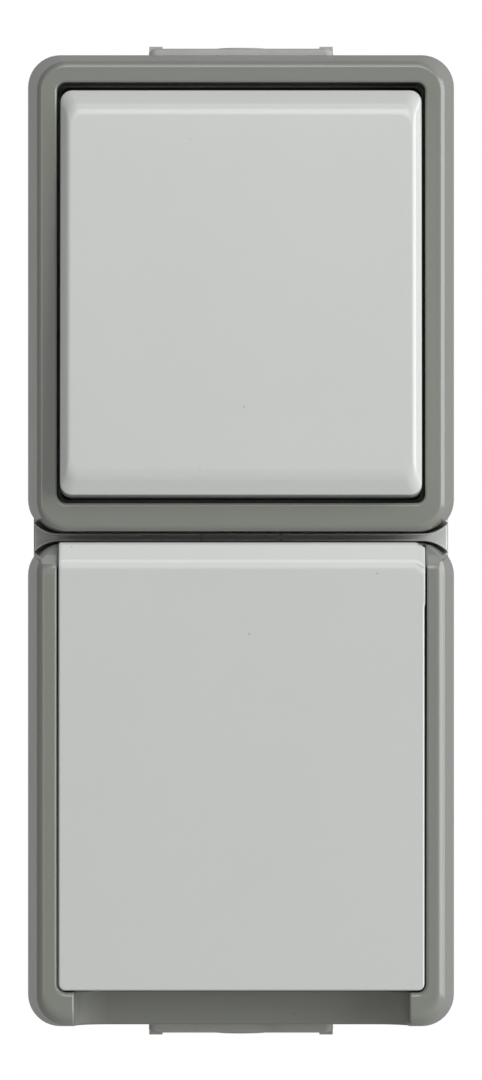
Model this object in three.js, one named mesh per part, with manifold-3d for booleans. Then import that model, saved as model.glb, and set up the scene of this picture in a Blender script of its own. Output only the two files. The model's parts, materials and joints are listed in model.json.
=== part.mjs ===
// A splash-proof surface unit for one wall box: a rocker switch above, and below it an earthed
// socket outlet under a sprung lid. Sizes are in millimetres.
// The model is drawn in wall axes: u runs to the right, v up and w out from the wall. v is 0 at the
// middle of the unit and w is 0 on the wall. The top group at the end turns these to X, Z and -Y.

import * as THREE from 'three';
import { mergeVertices } from 'three/addons/utils/BufferGeometryUtils.js';
import Module from 'manifold-3d';

const wasm = await Module();
wasm.setup();

// ---- Driving dimensions ----

const GAP = 0.3; // clearance between touching pieces
const LEAF = 0.8; // thickness of the brass and steel strips

const BASE = { half: 32.1, end: 74.3, corner: 4, draft: 0.5, shoulder: 30, floor: 2.2, wall: 2.5 };
const RIM = { band: 27, top: 36.5, outer: 29.8, thick: 1.2, fromFrame: 3.2, corner: 2.6 };
const WEB = [-1.1, 2.1]; // the wall across the base between the two chambers, as a range of v

const FRAME = { half: 33, back: 30.3, crease: 47.3, front: 48, wall: 2, slope: 1.75, corner: 5 };
const FRAME_CREASE = 0.7; // width of the rounded edge round a frame's face
const LEDGE = { low: 38.1, high: 39.6, half: 26 }; // the step inside each frame
const OPENING = { half: 28.2, corner: 1.3 }; // the hole in each frame's face

// rise is how much further out than FRAME.front the face of a frame is
const SWITCH = { low: 1.3, high: 75.2, mid: 38, openLow: 5.77, openHigh: 70.2, rise: 0 };
const SOCKET = { low: -75.2, high: -0.3, mid: -37.3, openLow: -69.1, wallTop: 40.6, rise: 2.3 };
const TOP_FALL = [[6, 0], [3.7, 0], [1.6, 0.35], [-1, 2.2]]; // [below the top, in from the face]
const RECESS = { half: 25.8, cove: 3.5, tilt: 0.48, floor: 42.5 }; // the finger scoop below the lid

const ROCKER = { pivot: 45.5, rest: -3.5, half: 27.65, low: -31.3, high: 30.8, back: 43, face: 51 };
const ROCKER_WALL = 2;
const BEARING = { u: [12.2, 14.2], half: 3.5, top: 47.4, hole: 1.9 }; // cheeks that carry the yoke
const LEVER = { pivot: 26.2, rest: 7, half: 12.5, contact: 10.5 };

const LID = { half: 27.7, taper: 0.2, ear: 27.9, high: -0.25, low: -68.8, back: 44.3, face: 50.5 };
const LID_WALL = { side: 1.8, top: 1.5, face: 2.3 };
const HINGE = { v: -4.3, w: 45.5, pin: 1, hole: 1.3 };
const POST = [19.8, 23.2]; // the frame's hinge posts, as a range of u on each side
const LID_EAR = [23.6, 27.7];

const INSERT = { plateHalf: 28, plateCorner: 3, fixing: 26, pillar: 3.6 };
const SWITCH_BODY = { half: 19, back: 9, front: 31 };
const SWITCH_PLATE = [31.4, 32.4];
const SOCKET_BODY = { u: 20.5, v: 17, back: 5, front: 21.5, flange: [14.5, 16.7] };
const SOCKET_PLATE = [17, 18];
const TERMINAL = 3.5; // half width of a brass terminal block
const TERMINAL_AT = { u: 13, v: 10.5 };
const SOCKET_TERMINAL_AT = { u: 15.5, v: 11 };
const DISH = { inner: 19.5, outer: 21.2, floor: [23.6, 25.2], pin: 9.5, pinHole: 2.8 };
const COVER = { half: 27.4, v: [-68.4, -9], w: [40, 43.2] };
const COVER_SCREW = { head: 2.6, recess: 2.9, boss: 3.6, seat: 22.9 }; // sunk below the dish's floor

const ENTRY = { half: 14.3, throat: 13, w: [8, 26.6], out: 76.4, lip: 1.6, nipple: 3.85 };

const MANY = 32; // facets round a large cylinder
const FEW = 16; // facets round a small one
const FEWEST = 12; // facets round a screw

// ---- Finishes ----

const finish = (color, roughness, metalness = 0) => ({ color, roughness, metalness });
const PALE_GREY = finish(0xc4c6c4, 0.38);
const DARK_GREY = finish(0x82837e, 0.42);
const SOFT_GREY = finish(0xa5a5a3, 0.7);
const SOFT_BLACK = finish(0x202020, 0.8);
const INSULATOR = finish(0xe2e0d8, 0.5);
const BRASS = finish(0xc9a552, 0.35, 1);
const SILVER = finish(0xd8d8d4, 0.25, 1);
const STEEL = finish(0xb4b6b8, 0.35, 1);

// ---- Shapes ----

const flatten = (geometry) => {
  const plain = geometry.clone();
  plain.deleteAttribute('normal');
  plain.deleteAttribute('uv');
  return mergeVertices(plain, 1e-4);
};

// A closed mesh as a solid, whichever way its faces were wound.
function solidOf(geometry) {
  const merged = flatten(geometry);
  const points = merged.getAttribute('position').array;
  const corners = merged.getIndex().array;
  const at = (i) => new THREE.Vector3().fromArray(points, 3 * i);
  const triangles = [];
  let volume = 0;
  for (let i = 0; i < corners.length; i += 3) {
    const [a, b, c] = [corners[i], corners[i + 1], corners[i + 2]];
    if (a === b || b === c || c === a) continue;
    triangles.push([a, b, c]);
    volume += at(a).dot(at(b).cross(at(c)));
  }
  const wound = volume < 0 ? triangles.map(([a, b, c]) => [a, c, b]) : triangles;
  return new wasm.Manifold(new wasm.Mesh({
    numProp: 3,
    vertProperties: new Float32Array(points),
    triVerts: new Uint32Array(wound.flat()),
  }));
}

const join = (...solids) => solids.reduce((whole, next) => whole.add(next));
const cut = (solid, ...tools) => tools.reduce((whole, tool) => whole.subtract(tool), solid);

const middle = ([low, high]) => (low + high) / 2;
const span = ([low, high]) => high - low;
const about = (centre, half) => [centre - half, centre + half];
const mirrored = ([low, high], side) => (side > 0 ? [low, high] : [-high, -low]);

function block(u, v, w) {
  const geometry = new THREE.BoxGeometry(span(u), span(v), span(w));
  return solidOf(geometry.translate(middle(u), middle(v), middle(w)));
}

// A round bar along w through (u, v).
function rod(radius, u, v, w, facets = FEW) {
  const geometry = new THREE.CylinderGeometry(radius, radius, span(w), facets);
  return solidOf(geometry.rotateX(Math.PI / 2).translate(u, v, middle(w)));
}

// A round bar along u through (v, w).
function crossbar(radius, u, v, w, facets = FEW) {
  const geometry = new THREE.CylinderGeometry(radius, radius, span(u), facets);
  return solidOf(geometry.rotateZ(Math.PI / 2).translate(middle(u), v, w));
}

// A body of revolution about the line along w through (u, v); its profile is pairs [radius, w].
function turned(profile, u, v, facets = FEW) {
  const points = profile.map(([radius, w]) => new THREE.Vector2(radius, w));
  const geometry = new THREE.LatheGeometry([...points, points[0]], facets);
  return solidOf(geometry.rotateX(Math.PI / 2).scale(1, -1, 1).translate(u, v, 0));
}

// A rounded rectangle as a list of points [u, v].
function roundedOutline(u, v, radius, steps = 3) {
  const corners = [[u[1], v[1], 0], [u[0], v[1], 1], [u[0], v[0], 2], [u[1], v[0], 3]];
  return corners.flatMap(([cu, cv, quarter]) => {
    const centreU = cu - Math.sign(cu - middle(u)) * radius;
    const centreV = cv - Math.sign(cv - middle(v)) * radius;
    return Array.from({ length: steps + 1 }, (_, i) => {
      const angle = (quarter + i / steps) * Math.PI / 2;
      return [centreU + radius * Math.cos(angle), centreV + radius * Math.sin(angle)];
    });
  });
}

const shapeOf = (points) => new THREE.Shape(points.map(([a, b]) => new THREE.Vector2(a, b)));

// An outline in (u, v) carried along w.
function slab(points, w) {
  const geometry = new THREE.ExtrudeGeometry(shapeOf(points), { depth: span(w), bevelEnabled: false });
  return solidOf(geometry.translate(0, 0, w[0]));
}

const roundedSlab = (u, v, radius, w) => slab(roundedOutline(u, v, radius), w);

// An outline in (v, w) carried along u.
function sideSlab(points, u) {
  const geometry = new THREE.ExtrudeGeometry(shapeOf(points), { depth: span(u), bevelEnabled: false });
  geometry.rotateY(Math.PI / 2).rotateX(Math.PI / 2);
  return solidOf(geometry.translate(u[0], 0, 0));
}

// A skin through rounded rectangles [u, v, radius, w], closed at both ends.
function loft(levels) {
  const rings = levels.map(([u, v, radius, w]) => (
    roundedOutline(u, v, radius).map(([a, b]) => [a, b, w])
  ));
  const count = rings[0].length;
  const triangles = [];
  for (let level = 0; level + 1 < rings.length; level += 1) {
    for (let i = 0; i < count; i += 1) {
      const [a, b] = [level * count + i, level * count + (i + 1) % count];
      triangles.push(a, b, b + count, a, b + count, a + count);
    }
  }
  const last = (rings.length - 1) * count;
  for (let i = 1; i + 1 < count; i += 1) {
    triangles.push(0, i + 1, i, last, last + i, last + i + 1);
  }
  const geometry = new THREE.BufferGeometry();
  const normals = new Float32Array(3 * count * rings.length);
  geometry.setAttribute('position', new THREE.Float32BufferAttribute(rings.flat(2), 3));
  geometry.setAttribute('normal', new THREE.BufferAttribute(normals, 3));
  geometry.setAttribute('uv', new THREE.BufferAttribute(normals.slice(0, 2 * count * rings.length), 2));
  geometry.setIndex(triangles);
  return solidOf(geometry);
}

// A strip of even thickness along a bent path of points [v, w].
function bentOutline(path, thickness) {
  const points = path.map(([a, b]) => new THREE.Vector2(a, b));
  const normals = points.slice(1).map((point, i) => {
    const along = point.clone().sub(points[i]).normalize();
    return new THREE.Vector2(-along.y, along.x);
  });
  const offset = (side) => points.map((point, i) => {
    const before = normals[Math.max(i - 1, 0)];
    const after = normals[Math.min(i, normals.length - 1)];
    const mitre = before.clone().add(after).normalize();
    return point.clone().addScaledVector(mitre, side * thickness / 2 / mitre.dot(after));
  });
  return [...offset(1), ...offset(-1).reverse()].map((point) => [point.x, point.y]);
}

class Helix extends THREE.Curve {
  constructor(radius, pitch, turns) {
    super();
    Object.assign(this, { radius, pitch, turns });
  }

  getPoint(t, target = new THREE.Vector3()) {
    const angle = 2 * Math.PI * this.turns * t;
    const { radius, pitch, turns } = this;
    return target.set(radius * Math.cos(angle), radius * Math.sin(angle), pitch * turns * t);
  }
}

// Round wire along a curve.
function wire(curve, radius, steps) {
  const sides = 6;
  const points = Array.from({ length: sides }, (_, i) => {
    const angle = 2 * Math.PI * i / sides;
    return [radius * Math.cos(angle), radius * Math.sin(angle)];
  });
  return new THREE.ExtrudeGeometry(shapeOf(points), { steps, extrudePath: curve });
}

// A cross-headed screw along w, with the underside of its head at `seat` and its tip at `tip`.
function screw(u, v, seat, tip, head) {
  const slot = { half: head * 0.62, thick: 0.45, deep: 1 };
  const top = seat + head * 0.6;
  const shank = head * 0.52;
  const body = turned([[0, tip], [shank * 0.5, tip], [shank, tip + 1.2], [shank, seat], [head, seat],
    [head, top - 0.5], [head * 0.8, top], [0, top]], u, v, FEWEST);
  return cut(
    body,
    block(about(u, slot.half), about(v, slot.thick), [top - slot.deep, top + 1]),
    block(about(u, slot.thick), about(v, slot.half), [top - slot.deep, top + 1]),
  );
}

// ---- Assembly ----

const unit = new THREE.Group();

function piece(parent, name, solid, look) {
  const { vertProperties, triVerts } = solid.getMesh();
  const geometry = new THREE.BufferGeometry();
  geometry.setAttribute('position', new THREE.BufferAttribute(new Float32Array(vertProperties), 3));
  geometry.setIndex(new THREE.BufferAttribute(new Uint32Array(triVerts), 1));
  geometry.computeVertexNormals();
  const mesh = new THREE.Mesh(geometry, new THREE.MeshStandardMaterial(look));
  mesh.name = name;
  parent.add(mesh);
}

// ---- Base ----

const SIDES = [-1, 1];
const unitRange = (part, inset) => [part.low + inset, part.high - inset];

// A ring of the base's rim shape, for one of the two chambers.
function rimRing(part, inset, thick, w) {
  const outer = roundedSlab(about(0, RIM.outer - inset), unitRange(part, RIM.fromFrame + inset), RIM.corner, w);
  const hole = inset + thick;
  const inner = roundedSlab(about(0, RIM.outer - hole), unitRange(part, RIM.fromFrame + hole),
    RIM.corner - thick, [w[0] - 1, w[1] + 1]);
  return cut(outer, inner);
}

function wallSlots() {
  const slot = { half: 2, reach: 4, u: 21, v: 58 };
  return SIDES.flatMap((side) => SIDES.map((end) => roundedSlab(
    about(side * slot.u, side === end ? slot.half : slot.reach),
    about(end * slot.v, side === end ? slot.reach : slot.half),
    slot.half - 0.01,
    [-1, BASE.floor + 1],
  )));
}

function entryNotch(end) {
  const v = mirrored([BASE.end - BASE.wall - 3, BASE.end + 1], end);
  return block(about(0, ENTRY.throat + GAP), v, [ENTRY.w[0] + 1, ENTRY.w[1] - 1.2]);
}

function pillars(part, top) {
  return SIDES.map((side) => {
    const v = part.mid + side * INSERT.fixing;
    return cut(
      rod(INSERT.pillar, 0, v, [BASE.floor - 1, top]),
      rod(1.9, 0, v, [top - 10, top + 1]),
    );
  });
}

function baseBox() {
  const { half, end, corner, draft, shoulder, floor, wall } = BASE;
  const outer = loft([
    [about(0, half - draft), about(0, end - draft), corner, 0],
    [about(0, half), about(0, end), corner, floor],
    [about(0, half), about(0, end), corner, shoulder],
  ]);
  const chambers = [[WEB[1], end - wall], [wall - end, WEB[0]]];
  const hollows = chambers.map((v) => roundedSlab(about(0, half - wall), v, corner - 2, [floor, RIM.band]));
  const mouths = [SWITCH, SOCKET].map((part) => roundedSlab(
    about(0, RIM.outer - RIM.thick),
    unitRange(part, RIM.fromFrame + RIM.thick),
    RIM.corner - RIM.thick,
    [RIM.band - 1, shoulder + 1],
  ));
  const rims = [SWITCH, SOCKET].map((part) => rimRing(part, 0, RIM.thick, [shoulder - 1, RIM.top]));
  const ridge = block([-27, 27], [0.2, 0.8], [shoulder - 1, RIM.top + 1.5]);
  const passage = block([-6.1, 6.1], [WEB[0] - 1, WEB[1] + 1], [12, 24]);
  const shell = cut(outer, ...hollows, ...mouths);
  return cut(
    join(shell, ...rims, ridge, ...pillars(SWITCH, SWITCH_PLATE[0] - GAP), ...pillars(SOCKET, SOCKET_PLATE[0] - GAP)),
    passage,
    entryNotch(1),
    entryNotch(-1),
    ...wallSlots(),
  );
}

// A soft grommet that closes the base's cable opening, gripping the wall in its groove.
function cableEntry(end) {
  const { half, throat, w, out, lip, nipple } = ENTRY;
  const groove = [BASE.end - BASE.wall - GAP, BASE.end + GAP];
  const outside = block(about(0, half), mirrored([groove[1], out], end), w);
  const inside = block(about(0, half), mirrored([groove[0] - lip, groove[0]], end), w);
  const web = block(about(0, throat), mirrored([groove[0] - 0.5, groove[1] + 0.5], end), [w[0] + 1.3, w[1] - 1.5]);
  const bore = mirrored([groove[0] - lip - 1, groove[1] - 0.6], end);
  const cup = new THREE.CylinderGeometry(nipple - 0.8, nipple + 3, span(bore), MANY);
  const hollow = solidOf(cup.rotateX(end > 0 ? 0 : Math.PI).translate(0, middle(bore), middle(w)));
  const tip = new THREE.CylinderGeometry(nipple, nipple, 1, MANY);
  const boss = solidOf(tip.translate(0, end * (out - 0.1), middle(w)));
  return cut(join(outside, inside, web, boss), hollow);
}

// ---- Frames ----

const frameInset = (part, w) => FRAME.slope * (w - FRAME.back) / (FRAME.crease + part.rise - FRAME.back);

function frameLevel(part, w, inset, radius) {
  return [about(0, FRAME.half - inset), unitRange(part, inset), radius, w];
}

function frameOutside(part) {
  return loft([
    frameLevel(part, FRAME.back, 0, FRAME.corner),
    frameLevel(part, FRAME.crease + part.rise, FRAME.slope, FRAME.corner - 0.5),
    frameLevel(part, FRAME.front + part.rise, FRAME.slope + FRAME_CREASE, FRAME.corner - 1),
  ]);
}

function frameInside(part) {
  const top = FRAME.front + part.rise - FRAME.wall;
  const [low, high] = [FRAME.back - 1, top];
  return loft([low, high].map((w) => (
    frameLevel(part, w, FRAME.wall + frameInset(part, w), FRAME.corner - FRAME.wall)
  )));
}

// The step that presses on the rim's seal; its hole runs from v[0] to v[1].
function frameLedge(part, v) {
  const w = [LEDGE.low, LEDGE.high];
  const inset = FRAME.wall / 2 + frameInset(part, middle(w));
  const plate = roundedSlab(about(0, FRAME.half - inset), unitRange(part, inset), FRAME.corner - 1, w);
  return cut(plate, roundedSlab(about(0, LEDGE.half), v, 2, [w[0] - 1, w[1] + 1]));
}

function switchFrame() {
  const v = [SWITCH.openLow, SWITCH.openHigh];
  const shell = cut(
    frameOutside(SWITCH),
    frameInside(SWITCH),
    roundedSlab(about(0, OPENING.half), v, OPENING.corner, [LEDGE.high, FRAME.front + 1]),
  );
  return join(shell, frameLedge(SWITCH, [v[0] + 2.2, v[1] - 2.2]));
}

// The finger scoop: a flat floor that falls away towards the bottom, with coved ends.
function scoop() {
  const { half, cove, tilt, floor } = RECESS;
  const steps = 5;
  const arc = (centre, from) => Array.from({ length: steps + 1 }, (_, i) => {
    const angle = from + i / steps * Math.PI / 2;
    return [centre + cove * Math.cos(angle), cove + cove * Math.sin(angle)];
  });
  const outline = [...arc(cove - half, Math.PI), ...arc(half - cove, 1.5 * Math.PI), [half, 20], [-half, 20]];
  const [above, length] = [8, 20];
  const geometry = new THREE.ExtrudeGeometry(shapeOf(outline), { depth: length, bevelEnabled: false });
  geometry.translate(0, 0, -above).rotateX(Math.PI / 2).rotateX(tilt);
  return solidOf(geometry.translate(0, SOCKET.openLow, floor));
}

function hingePost(side) {
  const u = mirrored(POST, side);
  const stem = block(u, [HINGE.v - 2.2, HINGE.v + 1.3], [LEDGE.low, HINGE.w]);
  const eye = crossbar(2.2, u, HINGE.v, HINGE.w);
  return cut(join(stem, eye), crossbar(HINGE.hole, [u[0] - 1, u[1] + 1], HINGE.v, HINGE.w));
}

function socketFrame() {
  const front = FRAME.front + SOCKET.rise;
  const fall = TOP_FALL.map(([below, inward]) => [SOCKET.high - below, front - inward]);
  const beyond = [[SOCKET.high + 1, front + 1], [SOCKET.high - TOP_FALL[0][0], front + 1]];
  const outside = cut(frameOutside(SOCKET), sideSlab([...fall, ...beyond], about(0, FRAME.half + 1)));
  const open = [SOCKET.openLow, SOCKET.high + 1];
  const bottomBlock = block(about(0, FRAME.half), [SOCKET.low, SOCKET.openLow], [LEDGE.low, front]);
  const shell = cut(
    outside,
    frameInside(SOCKET),
    roundedSlab(about(0, OPENING.half), [open[0], open[1] + 3], OPENING.corner, [LEDGE.high, front + 1]),
  );
  const lowered = cut(shell, block(about(0, OPENING.half), [-9, SOCKET.high + 3], [SOCKET.wallTop, front + 1]));
  const ledge = frameLedge(SOCKET, [SOCKET.openLow + 2.2, -10.4]);
  const filled = join(lowered, ledge, bottomBlock.intersect(outside));
  return join(cut(filled, scoop()), hingePost(1), hingePost(-1));
}

// ---- Switch insert ----

const switchAt = (u, v) => [u, SWITCH.mid + v];

// A brass block with a screw hole from the front and a wire hole across it.
function terminalBlock(u, v, w) {
  return cut(
    block(about(u, TERMINAL), about(v, TERMINAL), w),
    rod(1.8, u, v, [w[0] + 2, w[1] + 1]),
    crossbar(1.3, about(u, TERMINAL + 1), v, w[0] + 3),
  );
}

const SWITCH_BLOCK = [17, 26];
const LINE_STRIP = [23.2, 24.2];
const COMMON_STRIP = [20, 21];
const STRIP_HALF = 1.5;

function lineTerminal(end) {
  const [u, v] = switchAt(TERMINAL_AT.u, end * TERMINAL_AT.v);
  const strip = block([-2, u - TERMINAL + 0.1], about(v, STRIP_HALF), LINE_STRIP);
  return join(terminalBlock(u, v, SWITCH_BLOCK), strip);
}

function commonTerminal() {
  const [u, v] = switchAt(-TERMINAL_AT.u, -TERMINAL_AT.v);
  const saddleTop = LEVER.pivot - 1.4 - GAP;
  return join(
    terminalBlock(u, v, SWITCH_BLOCK),
    block([u + TERMINAL - 0.1, STRIP_HALF], about(v, STRIP_HALF), COMMON_STRIP),
    block(about(0, STRIP_HALF), [v - STRIP_HALF, SWITCH.mid + STRIP_HALF], COMMON_STRIP),
    block(about(0, STRIP_HALF), about(SWITCH.mid, STRIP_HALF), [COMMON_STRIP[0], saddleTop]),
  );
}

function bearingCheek(side) {
  const u = mirrored(BEARING.u, side);
  const post = block(u, about(SWITCH.mid, BEARING.half), [SWITCH_BODY.front - 1, BEARING.top]);
  const through = [u[0] - 1, u[1] + 1];
  return cut(
    post,
    crossbar(BEARING.hole, through, SWITCH.mid, ROCKER.pivot),
    block(through, about(SWITCH.mid, 1.5), [ROCKER.pivot, BEARING.top + 1]),
  );
}

function switchBody() {
  const { half, back, front } = SWITCH_BODY;
  const shell = roundedSlab(about(0, half), about(SWITCH.mid, half), 2, [back, front]);
  const well = block(about(0, 5.5), about(SWITCH.mid, 14), [14, front + 1]);
  const sides = [[1, 1], [1, -1], [-1, -1], [-1, 1]];
  const pockets = sides.map(([side, end]) => {
    const [u, v] = switchAt(side * TERMINAL_AT.u, end * TERMINAL_AT.v);
    return block(about(u, TERMINAL + GAP), about(v, TERMINAL + GAP), [SWITCH_BLOCK[0] - GAP, front + 1]);
  });
  const lineSlots = SIDES.map((end) => block(
    [5, TERMINAL_AT.u - TERMINAL],
    about(SWITCH.mid + end * TERMINAL_AT.v, STRIP_HALF + GAP),
    [LINE_STRIP[0] - GAP, front + 1],
  ));
  const commonSlot = block(
    [TERMINAL - TERMINAL_AT.u, -5],
    about(SWITCH.mid - TERMINAL_AT.v, STRIP_HALF + GAP),
    [COMMON_STRIP[0] - GAP, front + 1],
  );
  return join(cut(shell, well, ...pockets, ...lineSlots, commonSlot), bearingCheek(1), bearingCheek(-1));
}

// A steel plate round an insert, with its two fixing holes.
function supportPlate(part, windowU, windowV, w) {
  const half = INSERT.plateHalf;
  const plate = roundedSlab(about(0, half), about(part.mid, half), INSERT.plateCorner, w);
  const through = [w[0] - 1, w[1] + 1];
  return cut(
    plate,
    roundedSlab(about(0, windowU), about(part.mid, windowV), 1, through),
    ...SIDES.map((side) => rod(1.9, 0, part.mid + side * INSERT.fixing, through)),
  );
}

function rockerSeal() {
  const v = [SWITCH.openLow + 0.5, SWITCH.openHigh - 0.5];
  const w = [LEDGE.high + GAP, LEDGE.high + 1];
  return cut(
    roundedSlab(about(0, OPENING.half - 0.5), v, OPENING.corner, w),
    roundedSlab(about(0, 15.2), about(SWITCH.mid, 6), 2, [w[0] - 1, w[1] + 1]),
  );
}

// ---- Rocker, drawn about its pivot ----

const rocker = new THREE.Group();
rocker.position.set(0, SWITCH.mid, ROCKER.pivot);
rocker.rotation.x = THREE.MathUtils.degToRad(ROCKER.rest);

function rockerCap() {
  const { half, low, high, pivot } = ROCKER;
  const [back, face] = [ROCKER.back - pivot, ROCKER.face - pivot];
  const inset = (side, ends, w, radius) => [about(0, half - side), [low + ends, high - ends], radius, w];
  const outside = loft([
    inset(-0.1, -0.15, back, 1.8),
    inset(0, 0, face - 1.5, 1.8),
    inset(1, 2.3, face - 0.25, 1.8),
    inset(1.5, 3.5, face, 1.8),
  ]);
  const hollow = roundedSlab(
    about(0, half - ROCKER_WALL),
    [low + ROCKER_WALL, high - ROCKER_WALL],
    1,
    [back - 1, face - ROCKER_WALL],
  );
  const clips = SIDES.map((side) => block([-6, 6], mirrored([9.4, 10.6], side), [0.5, face - ROCKER_WALL + 0.5]));
  return join(cut(outside, hollow), ...clips);
}

function rockerYoke() {
  const plate = [1.4, ROCKER.face - ROCKER_WALL - GAP - ROCKER.pivot];
  const column = join(
    block([-11.9, 11.9], [-9, 9], plate),
    crossbar(1.6, [-15.8, 15.8], 0, 0),
    rod(3.2, 0, 0, [-10, plate[0] + 0.1], MANY),
  );
  return cut(column, rod(1.9, 0, 0, [-11, -2.1]));
}

function togglePlunger() {
  return turned([[0, -14.9], [0.8, -14.6], [1.5, -13.6], [1.5, -7.4], [0, -7.4]], 0, 0);
}

function toggleSpring() {
  return solidOf(wire(new Helix(1.3, 1, 4), 0.28, 32).translate(0, 0, -6.9));
}

// ---- Contact lever, drawn about its pivot ----

const lever = new THREE.Group();
lever.position.set(0, SWITCH.mid, LEVER.pivot);
lever.rotation.x = THREE.MathUtils.degToRad(LEVER.rest);

function contactLever() {
  return join(
    block([-2.5, 2.5], about(0, LEVER.half), [1.2, 2.6]),
    block([-2.5, 2.5], [-1.2, 1.2], [0, 1.3]),
    crossbar(1.4, [-2.5, 2.5], 0, 0),
  );
}

const contactRivet = (end) => rod(1.6, 0, end * LEVER.contact, [-0.1, 0.9]);

// ---- Socket insert ----

const socketAt = (u, v) => [u, SOCKET.mid + v];
const SOCKET_BLOCK = [9, 18];
const EARTH_BLOCK = [12, 18.5];
const EARTH_STRIP = [21.9, 21.9 + LEAF];

// A pin contact: two spring leaves on a foot that runs across to its terminal block.
function pinContact(side) {
  const [u, v] = socketAt(side * SOCKET_TERMINAL_AT.u, SOCKET_TERMINAL_AT.v);
  const across = mirrored([7, 12], side);
  const foot = [SOCKET_BLOCK[0], SOCKET_BLOCK[0] + LEAF];
  const leaves = SIDES.map((end) => block(
    across,
    about(SOCKET.mid + end * 3, LEAF / 2),
    [foot[0], SOCKET_BODY.front - 1],
  ));
  return join(
    ...leaves,
    block(across, [SOCKET.mid - 3, v + TERMINAL], foot),
    block(mirrored([11.9, 12.2], side), about(v, TERMINAL), foot),
    terminalBlock(u, v, SOCKET_BLOCK),
  );
}

function earthStrap() {
  const [u, v] = socketAt(SOCKET_TERMINAL_AT.u, -SOCKET_TERMINAL_AT.v);
  const strap = block([-4, 4], about(SOCKET.mid, 21.4), EARTH_STRIP);
  const tongue = block([3.9, 12.8], about(v, TERMINAL), EARTH_STRIP);
  const riser = block([12, 12.8], about(v, TERMINAL), [EARTH_BLOCK[1] - 0.5, EARTH_STRIP[1]]);
  const clips = SIDES.map((end) => {
    const path = [[21, 22.3], [21, 38], [19.6, 38.9], [17.7, 34.5], [18.6, 30]];
    const outline = bentOutline(path, LEAF).map(([across, w]) => [SOCKET.mid + end * across, w]);
    return sideSlab(outline, [-2.7, 2.7]);
  });
  const eye = block([-5.6, 5.6], about(SOCKET.mid, 5.6), EARTH_STRIP);
  const hole = rod(COVER_SCREW.boss + GAP, 0, SOCKET.mid, [20, 24]);
  return cut(join(strap, eye, tongue, riser, ...clips, terminalBlock(u, v, EARTH_BLOCK)), hole);
}

function socketBody() {
  const { u: halfU, v: halfV, back, front, flange } = SOCKET_BODY;
  const shell = join(
    roundedSlab(about(0, halfU), about(SOCKET.mid, halfV), 2, [back, front]),
    roundedSlab(about(0, halfU + 2), about(SOCKET.mid, halfV + 3), 2, flange),
  );
  const deep = [SOCKET_BLOCK[0] - GAP, front + 1];
  const earthDeep = [EARTH_BLOCK[0] - GAP, front + 1];
  const reach = TERMINAL + GAP;
  const pockets = SIDES.flatMap((side) => {
    const [u, v] = socketAt(side * SOCKET_TERMINAL_AT.u, SOCKET_TERMINAL_AT.v);
    return [
      block(mirrored([7 - GAP, 12 + GAP], side), [SOCKET.mid - 3.4 - GAP, v + reach], deep),
      block(about(u, reach), about(v, reach), deep),
    ];
  });
  const [earthU, earthV] = socketAt(SOCKET_TERMINAL_AT.u, -SOCKET_TERMINAL_AT.v);
  const earthPocket = block(about(earthU, reach), about(earthV, reach), earthDeep);
  return cut(shell, ...pockets, earthPocket, rod(1.9, 0, SOCKET.mid, [10, front + 1]));
}

function socketCover() {
  const { inner, outer, floor, pin, pinHole } = DISH;
  const { half, v, w } = COVER;
  const depth = [floor[1], w[1] + 1];
  const solid = join(
    roundedSlab(about(0, half), v, 2, w),
    rod(outer, 0, SOCKET.mid, [floor[0], w[0] + 1], MANY),
    rod(COVER_SCREW.boss, 0, SOCKET.mid, [SOCKET_BODY.front + GAP, floor[0] + 0.5]),
  );
  const ribs = SIDES.map((side) => block(
    mirrored([17.3, inner + 0.6], side),
    about(SOCKET.mid, 2.4),
    [floor[1] - 0.5, w[1]],
  ));
  const hollowed = join(cut(solid, rod(inner, 0, SOCKET.mid, depth, MANY)), ...ribs);
  const clipSlots = SIDES.map((side) => {
    const across = mirrored([16.6, outer + 1], side).map((offset) => SOCKET.mid + offset);
    return block([-3.1, 3.1], across, [floor[0] - 1, w[0] - 0.4]);
  });
  const through = [floor[0] - 1, floor[1] + 1];
  const pinHoles = SIDES.map((side) => rod(pinHole, side * pin, SOCKET.mid, through));
  return cut(
    hollowed,
    ...clipSlots,
    ...pinHoles,
    rod(1.7, 0, SOCKET.mid, [SOCKET_BODY.front - 1, floor[1] + 1]),
    rod(COVER_SCREW.recess, 0, SOCKET.mid, [COVER_SCREW.seat, floor[1] + 1]),
  );
}

// ---- Lid ----

function lidBody() {
  const { half, taper, high, low, back, face } = LID;
  const profile = [[high, back], [high, face - 1.5], [high - 2.7, face - 0.2], [high - 4.1, face],
    [low, face], [low, back]];
  const corner = 1.15;
  const steps = 4;
  const foot = SIDES.flatMap((side) => Array.from({ length: steps + 1 }, (_, i) => {
    const turn = (side < 0 ? i : steps - i) / steps * Math.PI / 2;
    const reach = half - taper - corner + corner * Math.cos(turn);
    return [side * reach, low + corner - corner * Math.sin(turn)];
  }));
  const outline = [[half, high + 1], [-half, high + 1], ...foot];
  const { side, top, face: skin } = LID_WALL;
  const hollow = block(about(0, half - side), [low + side, high - top], [back - 1, face - skin]);
  return cut(sideSlab(profile, about(0, half)).intersect(slab(outline, [back - 1, face + 1])), hollow);
}

function socketLid() {
  const ears = SIDES.flatMap((side) => [
    block(mirrored(LID_EAR, side), [HINGE.v - 2.2, LID.high - 0.5], [HINGE.w - 2.4, LID.face - 1.6]),
    block(mirrored([LID.half - 0.5, LID.ear], side), [-9.8, LID.high - 0.4], [LID.back, LID.face - 1.6]),
  ]);
  const notches = SIDES.map((side) => {
    const u = mirrored(POST, side);
    return block([u[0] - 0.4, u[1] + 0.4], [HINGE.v - 3, LID.high + 1], [LID.back - 2, HINGE.w + 2.4]);
  });
  const bore = crossbar(HINGE.hole, about(0, LID.half - 0.6), HINGE.v, HINGE.w);
  return cut(join(lidBody(), ...ears), ...notches, bore);
}

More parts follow.
